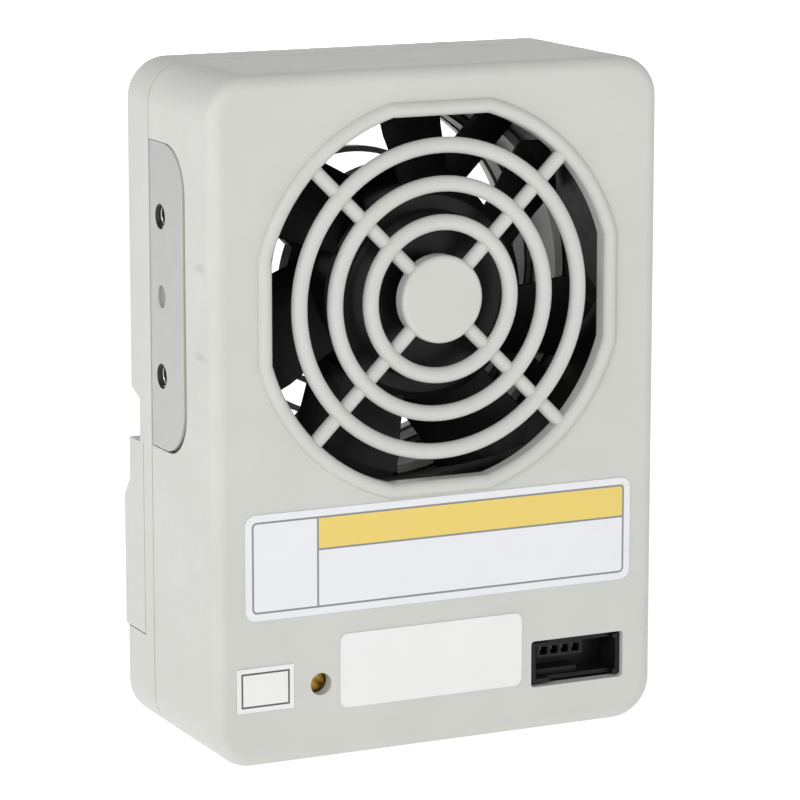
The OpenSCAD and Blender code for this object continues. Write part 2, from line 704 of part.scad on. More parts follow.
// Two ball bearings, each with a groove between its races on both sides.
module fan_bearings() {
    mid_r = (bearing_r + shaft_r) / 2;
    color([0.75, 0.76, 0.78])
    for (y = [FRONT_BEARING_Y, REAR_BEARING_Y]) difference() {
        tube_y(shaft_r + 0.04, bearing_r, y, y + bearing_w);
        tube_y(mid_r - 0.35, mid_r + 0.35, y - 1, y + 0.3);
        tube_y(mid_r - 0.35, mid_r + 0.35, y + bearing_w - 0.3, y + bearing_w + 1);
    }
}

// Laminated stator with four poles.
module stator_core() {
    color([0.45, 0.46, 0.48]) difference() {
        union() {
            rod_y(0, FAN_Z, TUBE_R + 1.6, STATOR_Y0, STATOR_Y1);
            for (a = [0 : 90 : 270]) rotate_about_fan(a)
                box(TUBE_R, STATOR_R - 1, STATOR_Y0, STATOR_Y1, FAN_Z - 1.2, FAN_Z + 1.2);
            difference() {
                tube_y(STATOR_R - 1.4, STATOR_R, STATOR_Y0, STATOR_Y1);
                for (a = [0, 90]) rotate_about_fan(a + 45)
                    box(-STATOR_R - 1, STATOR_R + 1, STATOR_Y0 - 1, STATOR_Y1 + 1, FAN_Z - 1.4, FAN_Z + 1.4);
            }
        }
        rod_y(0, FAN_Z, TUBE_R + SEAT, STATOR_Y0 - 1, STATOR_Y1 + 1);
    }
}

// Four copper coils, one on each pole's neck.
module stator_coils() {
    r0 = TUBE_R + 1.9;
    r1 = STATOR_R - 1.7;
    color([0.72, 0.40, 0.20])
    for (a = [0 : 90 : 270]) rotate_about_fan(a) difference() {
        box(r0, r1, STATOR_Y0 - 0.8, STATOR_Y1 + 0.8, FAN_Z - 2.4, FAN_Z + 2.4);
        box(r0 - 1, r1 + 1, STATOR_Y0, STATOR_Y1, FAN_Z - 1.2, FAN_Z + 1.2);
    }
}

// Ring-shaped driver board that lies on the motor base.
module fan_board() {
    color([0.08, 0.32, 0.16]) difference() {
        union() {
            rod_y(0, FAN_Z, STATOR_R, BASE_Y - 1, BASE_Y);
            box(6, 10, BASE_Y - 1.5, BASE_Y - 1, FAN_Z - 2.5, FAN_Z + 2.5);
        }
        rod_y(0, FAN_Z, TUBE_R + SEAT, BASE_Y - 2, BASE_Y + 1);
    }
}

// One blade's section at radius r: points along the chord, first on one side, then on the other.
BLADE_STATIONS = 7;
BLADE_POINTS = 7;
BLADE_T = 1.2;
BLADE_CAMBER = 1.1;

function blade_r(i) = hub_r - 0.6 + (BLADE_TIP_R - hub_r + 0.6) * i / (BLADE_STATIONS - 1);
// the blade widens towards the hub in a curve
function blade_angle(u) = blade_angle_tip + (blade_angle_hub - blade_angle_tip) * pow(1 - u, 2);
// rounding of the leading corner at the tip, in degrees
function blade_round(u) = u < 0.7 ? 0 : 8 * (1 - sqrt(max(0, 1 - pow((u - 0.7) / 0.3, 2))));

function blade_point(i, t, side) =
    let (
        u = i / (BLADE_STATIONS - 1),
        r = blade_r(i),
        width = blade_angle(u) - blade_round(u),
        start = BLADE_PHASE - blade_round(u) - 4 * (1 - u),
        swell = BLADE_T * (0.35 + 0.65 * sin(180 * t)) / 2,
        bow = BLADE_CAMBER * sin(180 * t),
        pitch = atan2(blade_d, r * width * PI / 180),
        angle = start - width * t + (side * swell + bow) * sin(pitch) / r * 180 / PI,
        y = BLADE_Y0 + blade_d * t + (side * swell + bow) * cos(pitch) - bow
    )
    [r * cos(angle), y, r * sin(angle)];

// A blade as one loft from the hub to the tip.
module blade() {
    n = BLADE_POINTS;
    ring = 2 * n;
    points = [
        for (i = [0 : BLADE_STATIONS - 1]) each concat(
            [for (k = [0 : n - 1]) blade_point(i, k / (n - 1), 1)],
            [for (k = [n - 1 : -1 : 0]) blade_point(i, k / (n - 1), -1)]
        )
    ];
    sides = [
        for (i = [0 : BLADE_STATIONS - 2], k = [0 : ring - 1]) each let (
            a = i * ring + k,
            b = i * ring + (k + 1) % ring
        ) [[a, b, b + ring], [a, b + ring, a + ring]]
    ];
    caps = [
        for (k = [0 : n - 2]) each let (
            a = k, b = k + 1, c = ring - 2 - k, d = ring - 1 - k, top = (BLADE_STATIONS - 1) * ring
        ) [[a, c, b], [a, d, c], [top + a, top + b, top + c], [top + a, top + c, top + d]]
    ];
    polyhedron(points, concat(sides, caps), convexity = 4);
}

// Impeller: a hub cup with a stepped nose and its twisted blades.
module impeller() {
    color([0.07, 0.07, 0.08]) {
        difference() {
            turned() polygon([
                [0, HUB_Y0], [hub_r - 4.2, HUB_Y0], [hub_r - 3.6, HUB_Y0 + 0.5], [hub_r - 1.4, HUB_Y0 + 0.5],
                [hub_r, HUB_Y0 + 1.6], [hub_r, HUB_Y1], [0, HUB_Y1]
            ]);
            rod_y(0, FAN_Z, hub_r - HUB_WALL, HUB_Y0 + HUB_CAP, HUB_Y1 + 1);
        }
        difference() {
            rod_y(0, FAN_Z, 3, HUB_Y0 + HUB_CAP - 0.2, FRONT_BEARING_Y - 0.5);
            rod_y(0, FAN_Z, shaft_r, HUB_Y0 + HUB_CAP, FRONT_BEARING_Y);
        }
        for (i = [0 : blade_count - 1]) rotate_about_fan(i * 360 / blade_count)
            translate([0, 0, FAN_Z]) blade();
    }
}

// Drawn steel cup inside the hub, which carries the magnet.
module rotor_yoke() {
    r1 = hub_r - HUB_WALL;
    color([0.55, 0.56, 0.58])
    difference() {
        rod_y(0, FAN_Z, r1, HUB_Y0 + HUB_CAP, HUB_Y1 - 0.3);
        rod_y(0, FAN_Z, r1 - YOKE_T, HUB_Y0 + HUB_CAP + 0.6, HUB_Y1 + 1);
        rod_y(0, FAN_Z, 3, HUB_Y0, HUB_Y1);
    }
}

module rotor_magnet() {
    r1 = hub_r - HUB_WALL - YOKE_T;
    color([0.22, 0.20, 0.19]) tube_y(r1 - MAGNET_T, r1, HUB_Y0 + HUB_CAP + 1, HUB_Y1 - 0.6);
}

// Ground shaft with a groove for the clip at its outlet end.
SHAFT_END_Y = FAN_Y1 - BACK_SKIN - 0.4;
CLIP_Y = REAR_BEARING_Y + bearing_w + 0.1;
CLIP_T = 0.3;
module fan_shaft() {
    color([0.80, 0.81, 0.83]) difference() {
        rod_y(0, FAN_Z, shaft_r, HUB_Y0 + HUB_CAP, SHAFT_END_Y);
        tube_y(shaft_r - 0.3, shaft_r + 1, CLIP_Y, CLIP_Y + CLIP_T);
    }
}

module shaft_clip() {
    color([0.30, 0.30, 0.32]) difference() {
        tube_y(shaft_r - 0.3, shaft_r + 0.9, CLIP_Y, CLIP_Y + CLIP_T);
        box(-0.5, 0.5, CLIP_Y - 1, CLIP_Y + 1, FAN_Z, FAN_Z + 2 * shaft_r);
    }
}

// ---------------------------------------------------------------- cartridge

// Pull-out cover: plate with the outlet guard, skirt, and the grip band across its lower end.
module cartridge_cover() {
    color([0.82, 0.82, 0.79]) {
        difference() {
            union() {
                intersection() {
                    along_y(PLATE_Y, DUCT_Y) case_outline(wall + FIT);
                    box(-COVER_W / 2, COVER_W / 2, PLATE_Y, DUCT_Y, NOTCH_LOW_Z - 1, case_h);
                }
                box(-COVER_W / 2, COVER_W / 2, PLATE_Y, DUCT_Y, RAMP_TOP_Z - 1, NOTCH_LOW_Z - 1);
                tube_y(SKIRT_BORE, SKIRT_R, SKIRT_Y0, PLATE_Y + 0.5);
            }
            rod_y(0, FAN_Z, OUTLET_R, PLATE_Y - 1, DUCT_Y + 1);
            // finger room beside the plate, above the grip band
            for (s = [0, 1]) mirror([s, 0, 0])
                box(case_w / 2 - NOTCH_REACH, case_w, PLATE_Y - 1, DUCT_Y + 1, NOTCH_LOW_Z, NOTCH_TOP_Z);
            // slot for the contact strip at the bottom of the skirt
            box(-2.05, 2.05, SKIRT_Y0 - 1, SKIRT_Y0 + 3, FAN_Z - SKIRT_R - 1, FAN_Z - SKIRT_BORE + 1);
        }
        grip_band();
        outlet_guard();
    }
}

// Hollow band, full width, with a ramp to the raised face; its upper ends show in the finger notches.
module grip_band() {
    gap = 0.2;
    y0 = BULK_Y + gap;
    z0 = BAND_LOW_Z + gap;
    skin = 1.8;
    half = case_w / 2;
    difference() {
        along_x(-half, half) band_outline(y0, z0, 0);
        along_x(-half + skin, half - skin) band_outline(y0 - 1, z0 + skin, skin);
        // rounded side edges
        for (s = [0, 1]) mirror([s, 0, 0]) {
            side_round(DUCT_Y, RAMP_TOP_Z, NOTCH_LOW_Z + 1);
            side_round(OUT_Y, z0 - 1, RAMP_LOW_Z);
            intersection() {
                ramp_round();
                box(0, case_w, PLATE_Y - 1, OUT_Y + 1, RAMP_LOW_Z - 2, RAMP_TOP_Z);
            }
        }
        rod_y(0, FAN_Z, SKIRT_BORE, y0 - 2, OUT_Y + 1);
    }
}

// The band's section as Y and Z; inset moves the outlet side and the upper end inwards.
module band_outline(y0, z0, inset) {
    polygon([
        [y0, z0], [OUT_Y - inset, z0], [OUT_Y - inset, RAMP_LOW_Z - inset / 3],
        [DUCT_Y - inset, RAMP_TOP_Z - inset / 3], [DUCT_Y - inset, NOTCH_LOW_Z - inset],
        [y0, NOTCH_LOW_Z - inset]
    ]);
}

// Cuts the edge at x = case_w / 2 and y = top to a quarter round, between two heights.
module side_round(top, z0, z1) {
    r = outlet_edge_r;
    x = case_w / 2;
    difference() {
        box(x - r, x + 1, top - r, top + 1, z0, z1);
        translate([x - r, top - r, z0 - 1]) cylinder(r = r, h = z1 - z0 + 2);
    }
}

// The same round along the ramp.
module ramp_round() {
    lean = atan2(OUT_Y - DUCT_Y, RAMP_TOP_Z - RAMP_LOW_Z);
    translate([0, OUT_Y, RAMP_LOW_Z]) rotate([lean, 0, 0]) translate([0, -OUT_Y, 0])
        side_round(OUT_Y, -4, 8);
}

// Outlet guard: thin rings, four spokes and a disc.
OUTLET_RING_SHIFT = 0.4;
OUTLET_DISC_LIP = 0.9;
module outlet_guard() {
    y0 = DUCT_Y - 2;
    y1 = DUCT_Y - 0.3;
    w = outlet_bar_w / 2;
    for (i = [2 : 5])
        turned() translate([i * outlet_ring_pitch + OUTLET_RING_SHIFT - w, y0]) square([2 * w, y1 - y0]);
    for (a = [45 : 90 : 315]) rotate_about_fan(a)
        box(outlet_ring_pitch, OUTLET_R + 0.6, y0 + 0.2, y1 - 0.2, FAN_Z - w, FAN_Z + w);
    rod_y(0, FAN_Z, outlet_ring_pitch + OUTLET_DISC_LIP, y0, y1);
}

// Insulating ring with four arms that hold the needles.
module electrode_ring() {
    r0 = ARM_RING_BORE;
    color([0.78, 0.78, 0.75]) difference() {
        union() {
            tube_y(r0, SKIRT_BORE, ARM_RING_Y, ARM_RING_Y + ARM_RING_D);
            for (a = [45 : 90 : 315]) needle_place(a) rod_x(0, 0, ARM_R, r0 - 3.2, r0 + 0.6);
        }
        tube_y(r0 + 0.45, r0 + 0.45 + BUS_W, ARM_RING_Y - 1, ARM_RING_Y + BUS_W);
        for (a = [45 : 90 : 315]) needle_place(a) rod_x(0, 0, SOCKET_R, r0 - SOCKET_L, r0 + 0.3);
    }
}

// Puts a piece that lies along X onto one needle's tilted line.
module needle_place(a) {
    rotate_about_fan(a) translate([ARM_RING_BORE, NEEDLE_Y, FAN_Z]) rotate([0, 0, -needle_tilt])
        translate([-ARM_RING_BORE, 0, 0]) children();
}

module emitter_sockets() {
    r0 = ARM_RING_BORE;
    color([0.78, 0.70, 0.42])
    for (a = [45 : 90 : 315]) needle_place(a) difference() {
        rod_x(0, 0, SOCKET_R, r0 - SOCKET_L, r0 + 0.3);
        rod_x(0, 0, needle_r, r0 - SOCKET_L - 1, r0 - 0.6);
    }
}

// Tungsten needles with conical tips.
module emitter_needles() {
    r0 = ARM_RING_BORE;
    cone = 3 * needle_r;
    color([0.62, 0.63, 0.66])
    for (a = [45 : 90 : 315]) needle_place(a) {
        rod_x(0, 0, needle_r, NEEDLE_TIP_R + cone, r0 - 0.6);
        translate([NEEDLE_TIP_R + cone, 0, 0]) rotate([0, -90, 0])
            cylinder(r1 = needle_r, r2 = 0.04, h = cone);
    }
}

// Brass strip that feeds the needles, with a tab out through the skirt.
module bus_strip() {
    r0 = ARM_RING_BORE + 0.45;
    color([0.80, 0.62, 0.28]) {
        tube_y(r0, r0 + BUS_W, ARM_RING_Y, ARM_RING_Y + BUS_W);
        box(-2, 2, SKIRT_Y0 + 1, ARM_RING_Y + 0.4, FAN_Z - r0 - 0.6, FAN_Z - r0 - 0.1);
        box(-2, 2, SKIRT_Y0 + 1, SKIRT_Y0 + 1.6, FAN_Z - SKIRT_R, FAN_Z - r0 - 0.1);
    }
}

// ---------------------------------------------------------------- electronics

// Board with notches round the screw posts and holes for its own screws.
module control_board() {
    color([0.06, 0.33, 0.17]) difference() {
        box(-BOARD_W / 2, BOARD_W / 2, BOARD_Y0, BOARD_Y1, BOARD_Z0, BOARD_Z1);
        for (s = [-1, 1]) {
            x0 = POST_X - POST_R - 0.5;
            box(min(s * x0, s * case_w), max(s * x0, s * case_w), BOARD_Y0 - 1, BOARD_Y1 + 1,
                POST_Z - POST_R - 0.5, POST_Z + POST_R + 0.5);
        }
        for (p = BOARD_BOSSES) rod_y(p[0], p[1], 1.3, BOARD_Y0 - 1, BOARD_Y1 + 1);
    }
}

module board_screws() {
    color([0.72, 0.73, 0.75])
    for (p = BOARD_BOSSES) screw_y(p[0], p[1], BOARD_Y1, 2, 1.5, BOARD_PILOT_R, board_t + 4);
}

// Potted module behind the board, with its output post at the top.
MODULE_X = -BOSS_X + 3 + module_w / 2;
MODULE_Z0 = BOARD_Z0 + module_foot;
MODULE_Z1 = BOARD_Z1 - 1.2;
MODULE_H = MODULE_Z1 - MODULE_Z0;
module high_voltage_module() {
    color([0.09, 0.09, 0.10]) translate([MODULE_X, 0, MODULE_Z0 + MODULE_H / 2]) difference() {
        along_y(BOARD_Y1, BOARD_Y1 + module_d) round_rect(module_w, MODULE_H, 1.5);
        // potting sunk below the can's edge
        along_y(BOARD_Y1 + module_d - 0.8, BOARD_Y1 + module_d + 1)
            round_rect(module_w - 3, MODULE_H - 3, 1);
    }
}

// Springy strip from the module up to the cartridge's tab.
module contact_spring() {
    y0 = SKIRT_Y0 + 1;
    z0 = MODULE_Z1;
    color([0.80, 0.62, 0.28]) {
        box(-1.5, 1.5, y0 + 0.2, y0 + 0.6, z0, FAN_Z - SKIRT_R - FIT);
        box(-1.5, 1.5, BOARD_Y1 + module_d - 4, y0 + 0.6, z0, z0 + 0.4);
    }
}

// Intake-side socket: open shroud with a four-way contact block in its upper corner.
SOCKET_X0 = WINDOW_X - window_w / 2 + 0.6;
SOCKET_X1 = WINDOW_X + window_w / 2 - 0.2;
SOCKET_Z0 = window_z - window_h / 2 + 0.4;
SOCKET_Z1 = window_z + window_h / 2 - 0.6;
SOCKET_Y = FACE_Y + 0.9;
SOCKET_WALL = 0.7;
CONTACT_PITCH = 2;
CONTACT_HOLE = 1.4;
BLOCK_H = 2.3;

module power_connector() {
    x0 = SOCKET_X0 + SOCKET_WALL;
    x1 = SOCKET_X1 - SOCKET_WALL;
    z0 = SOCKET_Z0 + SOCKET_WALL;
    z1 = SOCKET_Z1 - SOCKET_WALL;
    bx = x0 + 0.9;
    color([0.11, 0.11, 0.12]) {
        difference() {
            box(SOCKET_X0, SOCKET_X1, SOCKET_Y, BOARD_Y0, SOCKET_Z0, SOCKET_Z1);
            box(x0, x1, SOCKET_Y - 1, BOARD_Y0 - 1.2, z0, z1);
            // the long walls stop short, so the end walls stand as two brackets
            box(SOCKET_X0 + 3.4, SOCKET_X1 - 1.2, SOCKET_Y - 1, SOCKET_Y + 1.2, SOCKET_Z0 - 1, SOCKET_Z1 + 1);
        }
        difference() {
            box(bx, bx + 4 * CONTACT_PITCH + 0.6, SOCKET_Y + 1.4, BOARD_Y0 - 1, z1 - BLOCK_H, z1 + 0.1);
            for (i = [0 : 3]) contact_place(i)
                box(-CONTACT_HOLE / 2, CONTACT_HOLE / 2, SOCKET_Y, BOARD_Y0 - 2.2,
                    -CONTACT_HOLE / 2, CONTACT_HOLE / 2);
        }
        // keying shelf
        box(bx, bx + 4 * CONTACT_PITCH, SOCKET_Y + 2.4, BOARD_Y0 - 1, z0 - 0.1, z0 + 0.9);
    }
}

// The four contacts lie in a row along the block.
module contact_place(i) {
    bx = SOCKET_X0 + SOCKET_WALL + 1.2;
    translate([bx + (i + 0.5) * CONTACT_PITCH, 0, SOCKET_Z1 - SOCKET_WALL - BLOCK_H / 2]) children();
}

// Contacts with a square tip in the block and a tail through the board.
module connector_contacts() {
    color([0.80, 0.64, 0.30])
    for (i = [0 : 3]) contact_place(i)
        box(-0.32, 0.32, BOARD_Y0 - 4.2, BOARD_Y0 - 2.2, -0.32, 0.32);
}

TRIMMER_S = 6.4;
TRIMMER_H = 4.4;
TRIMMER_R = 1.65;
TRIMMER_SINK = 1.2;
module trimmer_body() {
    y0 = BOARD_Y0 - TRIMMER_H;
    color([0.16, 0.30, 0.55]) difference() {
        box(-TRIMMER_X - TRIMMER_S / 2, -TRIMMER_X + TRIMMER_S / 2, y0, BOARD_Y0,
            trimmer_z - TRIMMER_S / 2, trimmer_z + TRIMMER_S / 2);
        rod_y(-TRIMMER_X, trimmer_z, TRIMMER_R + 0.06, y0 - 1, y0 + TRIMMER_SINK);
    }
}

// Brass rotor with a screwdriver slot, seen through the access hole.
module trimmer_rotor() {
    y0 = BOARD_Y0 - TRIMMER_H - 0.9;
    y1 = BOARD_Y0 - TRIMMER_H + TRIMMER_SINK - 0.1;
    color([0.80, 0.60, 0.25]) difference() {
        rod_y(-TRIMMER_X, trimmer_z, TRIMMER_R, y0, y1);
        translate([-TRIMMER_X, y0, trimmer_z]) rotate([0, 35, 0])
            cube([2 * TRIMMER_R + 1, 1.2, 0.6], center = true);
    }
}

// Capacitors, an inductor, a driver chip and the fan's plug on the board's outlet side.
CAPACITOR_R = 3.5;
CAPACITOR_H = 10;
CAPACITOR_X = MODULE_X + module_w / 2 + 1 + CAPACITOR_R;
INDUCTOR_R = 3;
INDUCTOR_H = 5;
CHIP_W = 6;
CHIP_T = 1.6;
PLUG_W = 6;
PLUG_H = 4;
PLUG_D = 6;
PLUG_X = CAPACITOR_X + CAPACITOR_R + 5.5;
PLUG_Z1 = BOARD_Z1 - 13;
module board_components() {
    color([0.15, 0.16, 0.20]) {
        for (i = [0, 1])
            rod_y(CAPACITOR_X, BOARD_Z1 - 5.9 - i * (2 * CAPACITOR_R + 1), CAPACITOR_R,
                  BOARD_Y1, BOARD_Y1 + CAPACITOR_H);
        rod_y(PLUG_X + 3, BOARD_Z0 + 7.6, INDUCTOR_R, BOARD_Y1, BOARD_Y1 + INDUCTOR_H);
        translate([CAPACITOR_X, 0, BOARD_Z0 + 10])
            box(0, CHIP_W, BOARD_Y1, BOARD_Y1 + CHIP_T, -CHIP_W / 2, CHIP_W / 2);
        box(PLUG_X - PLUG_W / 2, PLUG_X + PLUG_W / 2, BOARD_Y1, BOARD_Y1 + PLUG_D,
            PLUG_Z1 - PLUG_H, PLUG_Z1);
    }
}

module indicator_lamps() {
    color([0.75, 0.85, 0.75])
    for (i = [-1 : 1]) rod_y(i * pipe_pitch, PIPE_Z, 1.1, BOARD_Y1, BOARD_Y1 + 2.2);
}

// Clear pipes that carry the lamps' light to the outlet face.
module light_pipes() {
    color([0.85, 0.90, 0.88])
    for (i = [-1 : 1]) rod_y(i * pipe_pitch, PIPE_Z, pipe_r, BOARD_Y1 + 2.2, OUT_Y - 0.1);
}

// ---------------------------------------------------------------- labels

module label_sheet(x, z, w, h, r) {
    translate([x, 0, z]) along_y(FACE_Y - label_t, FACE_Y) round_rect(w, h, r);
}

WIDE_LABEL_W = case_w - 2 * wide_label_side;
WIDE_LABEL_Z = FAN_Z - OPENING_FLAT - 2 * bead_r - wide_label_gap - wide_label_h / 2;
LABEL_GAP = 3.75;
RATING_LABEL_X = WINDOW_X - window_w / 2 - 1.85 - rating_label_w / 2;
SMALL_LABEL_X = -case_w / 2 + 3.7 + small_label_w / 2;
module wide_label() {
    color([0.93, 0.93, 0.94]) label_sheet(0.25, WIDE_LABEL_Z, WIDE_LABEL_W, wide_label_h, 1.8);
}

RATING_LABEL_Z = WIDE_LABEL_Z - wide_label_h / 2 - LABEL_GAP - rating_label_h / 2;
module rating_label() {
    color([0.93, 0.93, 0.94])
        label_sheet(RATING_LABEL_X, RATING_LABEL_Z, rating_label_w, rating_label_h, 1.4);
}

SMALL_LABEL_DROP = 1.4;
module small_label() {
    color([0.93, 0.93, 0.94])
        label_sheet(SMALL_LABEL_X, RATING_LABEL_Z - SMALL_LABEL_DROP, small_label_w, small_label_h, 0.2);
}

// Two insulated leads from the fan's flange down to the plug on the board.
LEAD_R = 0.6;
LEAD_SIDES = 8;
LEAD_PITCH = 2.5;
function lead_points(x) = [
    [x, FAN_Y1 + LEAD_R + 0.1, FAN_LOW_Z + 5], [x, FAN_Y1 + LEAD_R + 0.3, FAN_LOW_Z + 1],
    [x, FAN_Y1 + LEAD_R + 0.1, BOARD_Z1], [x, FAN_Y1 - 0.6, BOARD_Z1 - 5],
    [x, BOARD_Y1 + PLUG_D + 2.6, PLUG_Z1 + 2.5], [x, BOARD_Y1 + PLUG_D + 0.9, PLUG_Z1 - 1.4]
];
module fan_leads() {
    color([0.60, 0.12, 0.10]) for (s = [-1, 1]) lead(lead_points(PLUG_X + s * LEAD_PITCH / 2));
}

module lead(path) {
    n = len(path);
    turn = 360 / LEAD_SIDES;
    rings = [for (i = [0 : n - 1]) let (
        a = path[max(i - 1, 0)], b = path[min(i + 1, n - 1)], t = (b - a) / norm(b - a),
        side = cross(t, [1, 0, 0]), u = side / norm(side), v = cross(t, u)
    ) each [for (k = [0 : LEAD_SIDES - 1]) path[i] + LEAD_R * (cos(k * turn) * u + sin(k * turn) * v)]];
    sides = [for (i = [0 : n - 2], k = [0 : LEAD_SIDES - 1]) let (
        a = i * LEAD_SIDES + k, b = i * LEAD_SIDES + (k + 1) % LEAD_SIDES
    ) [a, b, b + LEAD_SIDES, a + LEAD_SIDES]];
    first = [for (k = [LEAD_SIDES - 1 : -1 : 0]) k];
    last = [for (k = [0 : LEAD_SIDES - 1]) (n - 1) * LEAD_SIDES + k];
    polyhedron(rings, concat(sides, [first, last]), convexity = 4);
}

intake_housing();
outlet_cover();
side_plate_left();
side_plate_right();
case_screws();
fan_frame();
fan_screws();
fan_bearings();
stator_core();
stator_coils();
fan_board();
fan_leads();
impeller();
rotor_yoke();
rotor_magnet();
fan_shaft();
shaft_clip();
cartridge_cover();
electrode_ring();
emitter_sockets();
emitter_needles();
bus_strip();
control_board();
board_screws();
board_components();
high_voltage_module();
contact_spring();
power_connector();
connector_contacts();
trimmer_body();
trimmer_rotor();
indicator_lamps();
light_pipes();
wide_label();
rating_label();
small_label();
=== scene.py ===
import json
import math
import bpy
from mathutils import Matrix, Vector


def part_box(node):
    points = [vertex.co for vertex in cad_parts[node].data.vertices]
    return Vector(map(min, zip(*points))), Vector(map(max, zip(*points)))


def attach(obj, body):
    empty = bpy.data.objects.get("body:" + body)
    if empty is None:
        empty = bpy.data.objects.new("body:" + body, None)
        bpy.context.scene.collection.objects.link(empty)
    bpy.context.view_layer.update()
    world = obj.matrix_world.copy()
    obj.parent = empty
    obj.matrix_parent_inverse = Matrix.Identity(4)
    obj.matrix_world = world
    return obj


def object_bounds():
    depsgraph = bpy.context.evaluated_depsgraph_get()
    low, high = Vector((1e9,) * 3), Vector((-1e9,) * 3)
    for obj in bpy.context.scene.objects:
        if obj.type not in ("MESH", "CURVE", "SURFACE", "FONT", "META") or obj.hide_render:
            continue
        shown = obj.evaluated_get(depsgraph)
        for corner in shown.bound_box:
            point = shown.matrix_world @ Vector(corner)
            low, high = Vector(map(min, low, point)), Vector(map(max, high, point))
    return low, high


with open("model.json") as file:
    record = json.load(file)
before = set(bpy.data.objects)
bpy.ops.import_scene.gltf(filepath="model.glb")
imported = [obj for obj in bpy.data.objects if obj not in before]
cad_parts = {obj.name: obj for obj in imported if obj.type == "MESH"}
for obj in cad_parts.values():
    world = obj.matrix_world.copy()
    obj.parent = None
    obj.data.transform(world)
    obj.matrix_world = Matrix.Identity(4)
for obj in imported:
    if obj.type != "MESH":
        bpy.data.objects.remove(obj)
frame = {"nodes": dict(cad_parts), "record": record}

cad_low, cad_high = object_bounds()


# ---- Case: intake housing, outlet cover and cartridge cover
# Three ABS mouldings in one warm light grey. The tool is spark-eroded, so the skin
# has a fine grain and scatters light; thick spots are a shade lighter than ribs.

MM = 0.001


def new_finish(name):
    """A material with its node tree and its surface shader."""
    finish = bpy.data.materials.new(name)
    finish.use_nodes = True
    tree = finish.node_tree
    return finish, tree, tree.nodes["Principled BSDF"]


def add(tree, kind, inputs, **settings):
    """A node whose inputs are sockets to link or plain values."""
    node = tree.nodes.new(kind)
    for key, value in settings.items():
        setattr(node, key, value)
    for key, value in inputs.items():
        if isinstance(value, bpy.types.NodeSocket):
            tree.links.new(value, node.inputs[key])
        else:
            node.inputs[key].default_value = value
    return node


def piece_place(tree):
    """Where a point lies in its piece, as a vector socket."""
    return add(tree, "ShaderNodeTexCoord", {}).outputs["Object"]


NO_STRETCH = (1, 1, 1)


def grain(tree, size, detail=2.0, stretch=NO_STRETCH):
    """Noise whose spots are about `size` metres wide, drawn out by `stretch`."""
    drawn = add(tree, "ShaderNodeMapping", {
        "Vector": piece_place(tree), "Scale": [1 / s for s in stretch]})
    noise = add(tree, "ShaderNodeTexNoise", {
        "Vector": drawn.outputs["Vector"], "Scale": 1 / size, "Detail": detail})
    return noise.outputs["Fac"]


def spread(tree, value, low, high):
    """The middle of a noise's range, stretched from `low` to `high`."""
    return add(tree, "ShaderNodeMapRange", {
        "Value": value, "From Min": 0.3, "From Max": 0.7, "To Min": low, "To Max": high}).outputs["Result"]


# A mix node has sockets for every kind of value; these are the ones for colours.
MIX_FACTOR = 0
MIX_FIRST = 6
MIX_SECOND = 7
MIXED = 2


def blend_colours(tree, factor, first, second):
    """Mixes two colours, each a socket or a plain RGB, by a factor socket."""
    sides = [c if isinstance(c, bpy.types.NodeSocket) else (*c, 1) for c in (first, second)]
    mix = add(tree, "ShaderNodeMix", {
        MIX_FACTOR: factor, MIX_FIRST: sides[0], MIX_SECOND: sides[1]}, data_type="RGBA")
    return mix.outputs[MIXED]


def relief(tree, shader, height, distance, strength=1.0):
    """Raises and sinks the shader's surface by a height pattern."""
    bump = add(tree, "ShaderNodeBump", {"Height": height, "Strength": strength, "Distance": distance})
    tree.links.new(bump.outputs["Normal"], shader.inputs["Normal"])


GRAIN_SIZE = 0.25 * MM
GLOSS_SPOTS_PER_CLOUD = 6


def skin(tree, shader, colours, cloud, gloss, grain_height):
    """Clouded colour, uneven gloss and a fine relief on one shader."""
    clouds = spread(tree, grain(tree, cloud), 0.0, 1.0)
    tree.links.new(blend_colours(tree, clouds, *colours), shader.inputs["Base Color"])
    gloss_spots = grain(tree, cloud / GLOSS_SPOTS_PER_CLOUD)
    tree.links.new(spread(tree, gloss_spots, *gloss), shader.inputs["Roughness"])
    relief(tree, shader, grain(tree, GRAIN_SIZE), grain_height, 0.6)


def dress(finish, *nodes):
    """Gives a finish to CAD nodes."""
    for name in nodes:
        mesh = frame["nodes"][name].data
        if not mesh.materials:
            mesh.materials.append(finish)
        for index in range(len(mesh.materials)):
            mesh.materials[index] = finish


def point_parts(tree):
    """X, Y and Z of a point of the piece, as sockets."""
    parts = add(tree, "ShaderNodeSeparateXYZ", {"Vector": piece_place(tree)})
    return parts.outputs["X"], parts.outputs["Y"], parts.outputs["Z"]


def calc(tree, step, *values):
    """One step of arithmetic on sockets or plain numbers."""
    return add(tree, "ShaderNodeMath", dict(enumerate(values)), operation=step).outputs[0]


def length_of(tree, first, second):
    """The length of a flat vector."""
    flat = add(tree, "ShaderNodeCombineXYZ", {"X": first, "Y": second})
    return add(tree, "ShaderNodeVectorMath", {0: flat.outputs[0]}, operation="LENGTH").outputs["Value"]


def distance_from(tree, value, middle):
    """How far a value lies from a middle one, without its sign."""
    return calc(tree, "ABSOLUTE", calc(tree, "SUBTRACT", value, middle))


def near(tree, value, middle, reach):
    """1 at a middle value, fading to 0 at `reach` from it."""
    return add(tree, "ShaderNodeMapRange", {
        "Value": distance_from(tree, value, middle), "From Min": 0.0, "From Max": reach,
        "To Min": 1.0, "To Max": 0.0}, interpolation_type="SMOOTHSTEP").outputs["Result"]


def both(tree, first, second):
    """1 only where both masks are 1."""
    return calc(tree, "MULTIPLY", first, second)


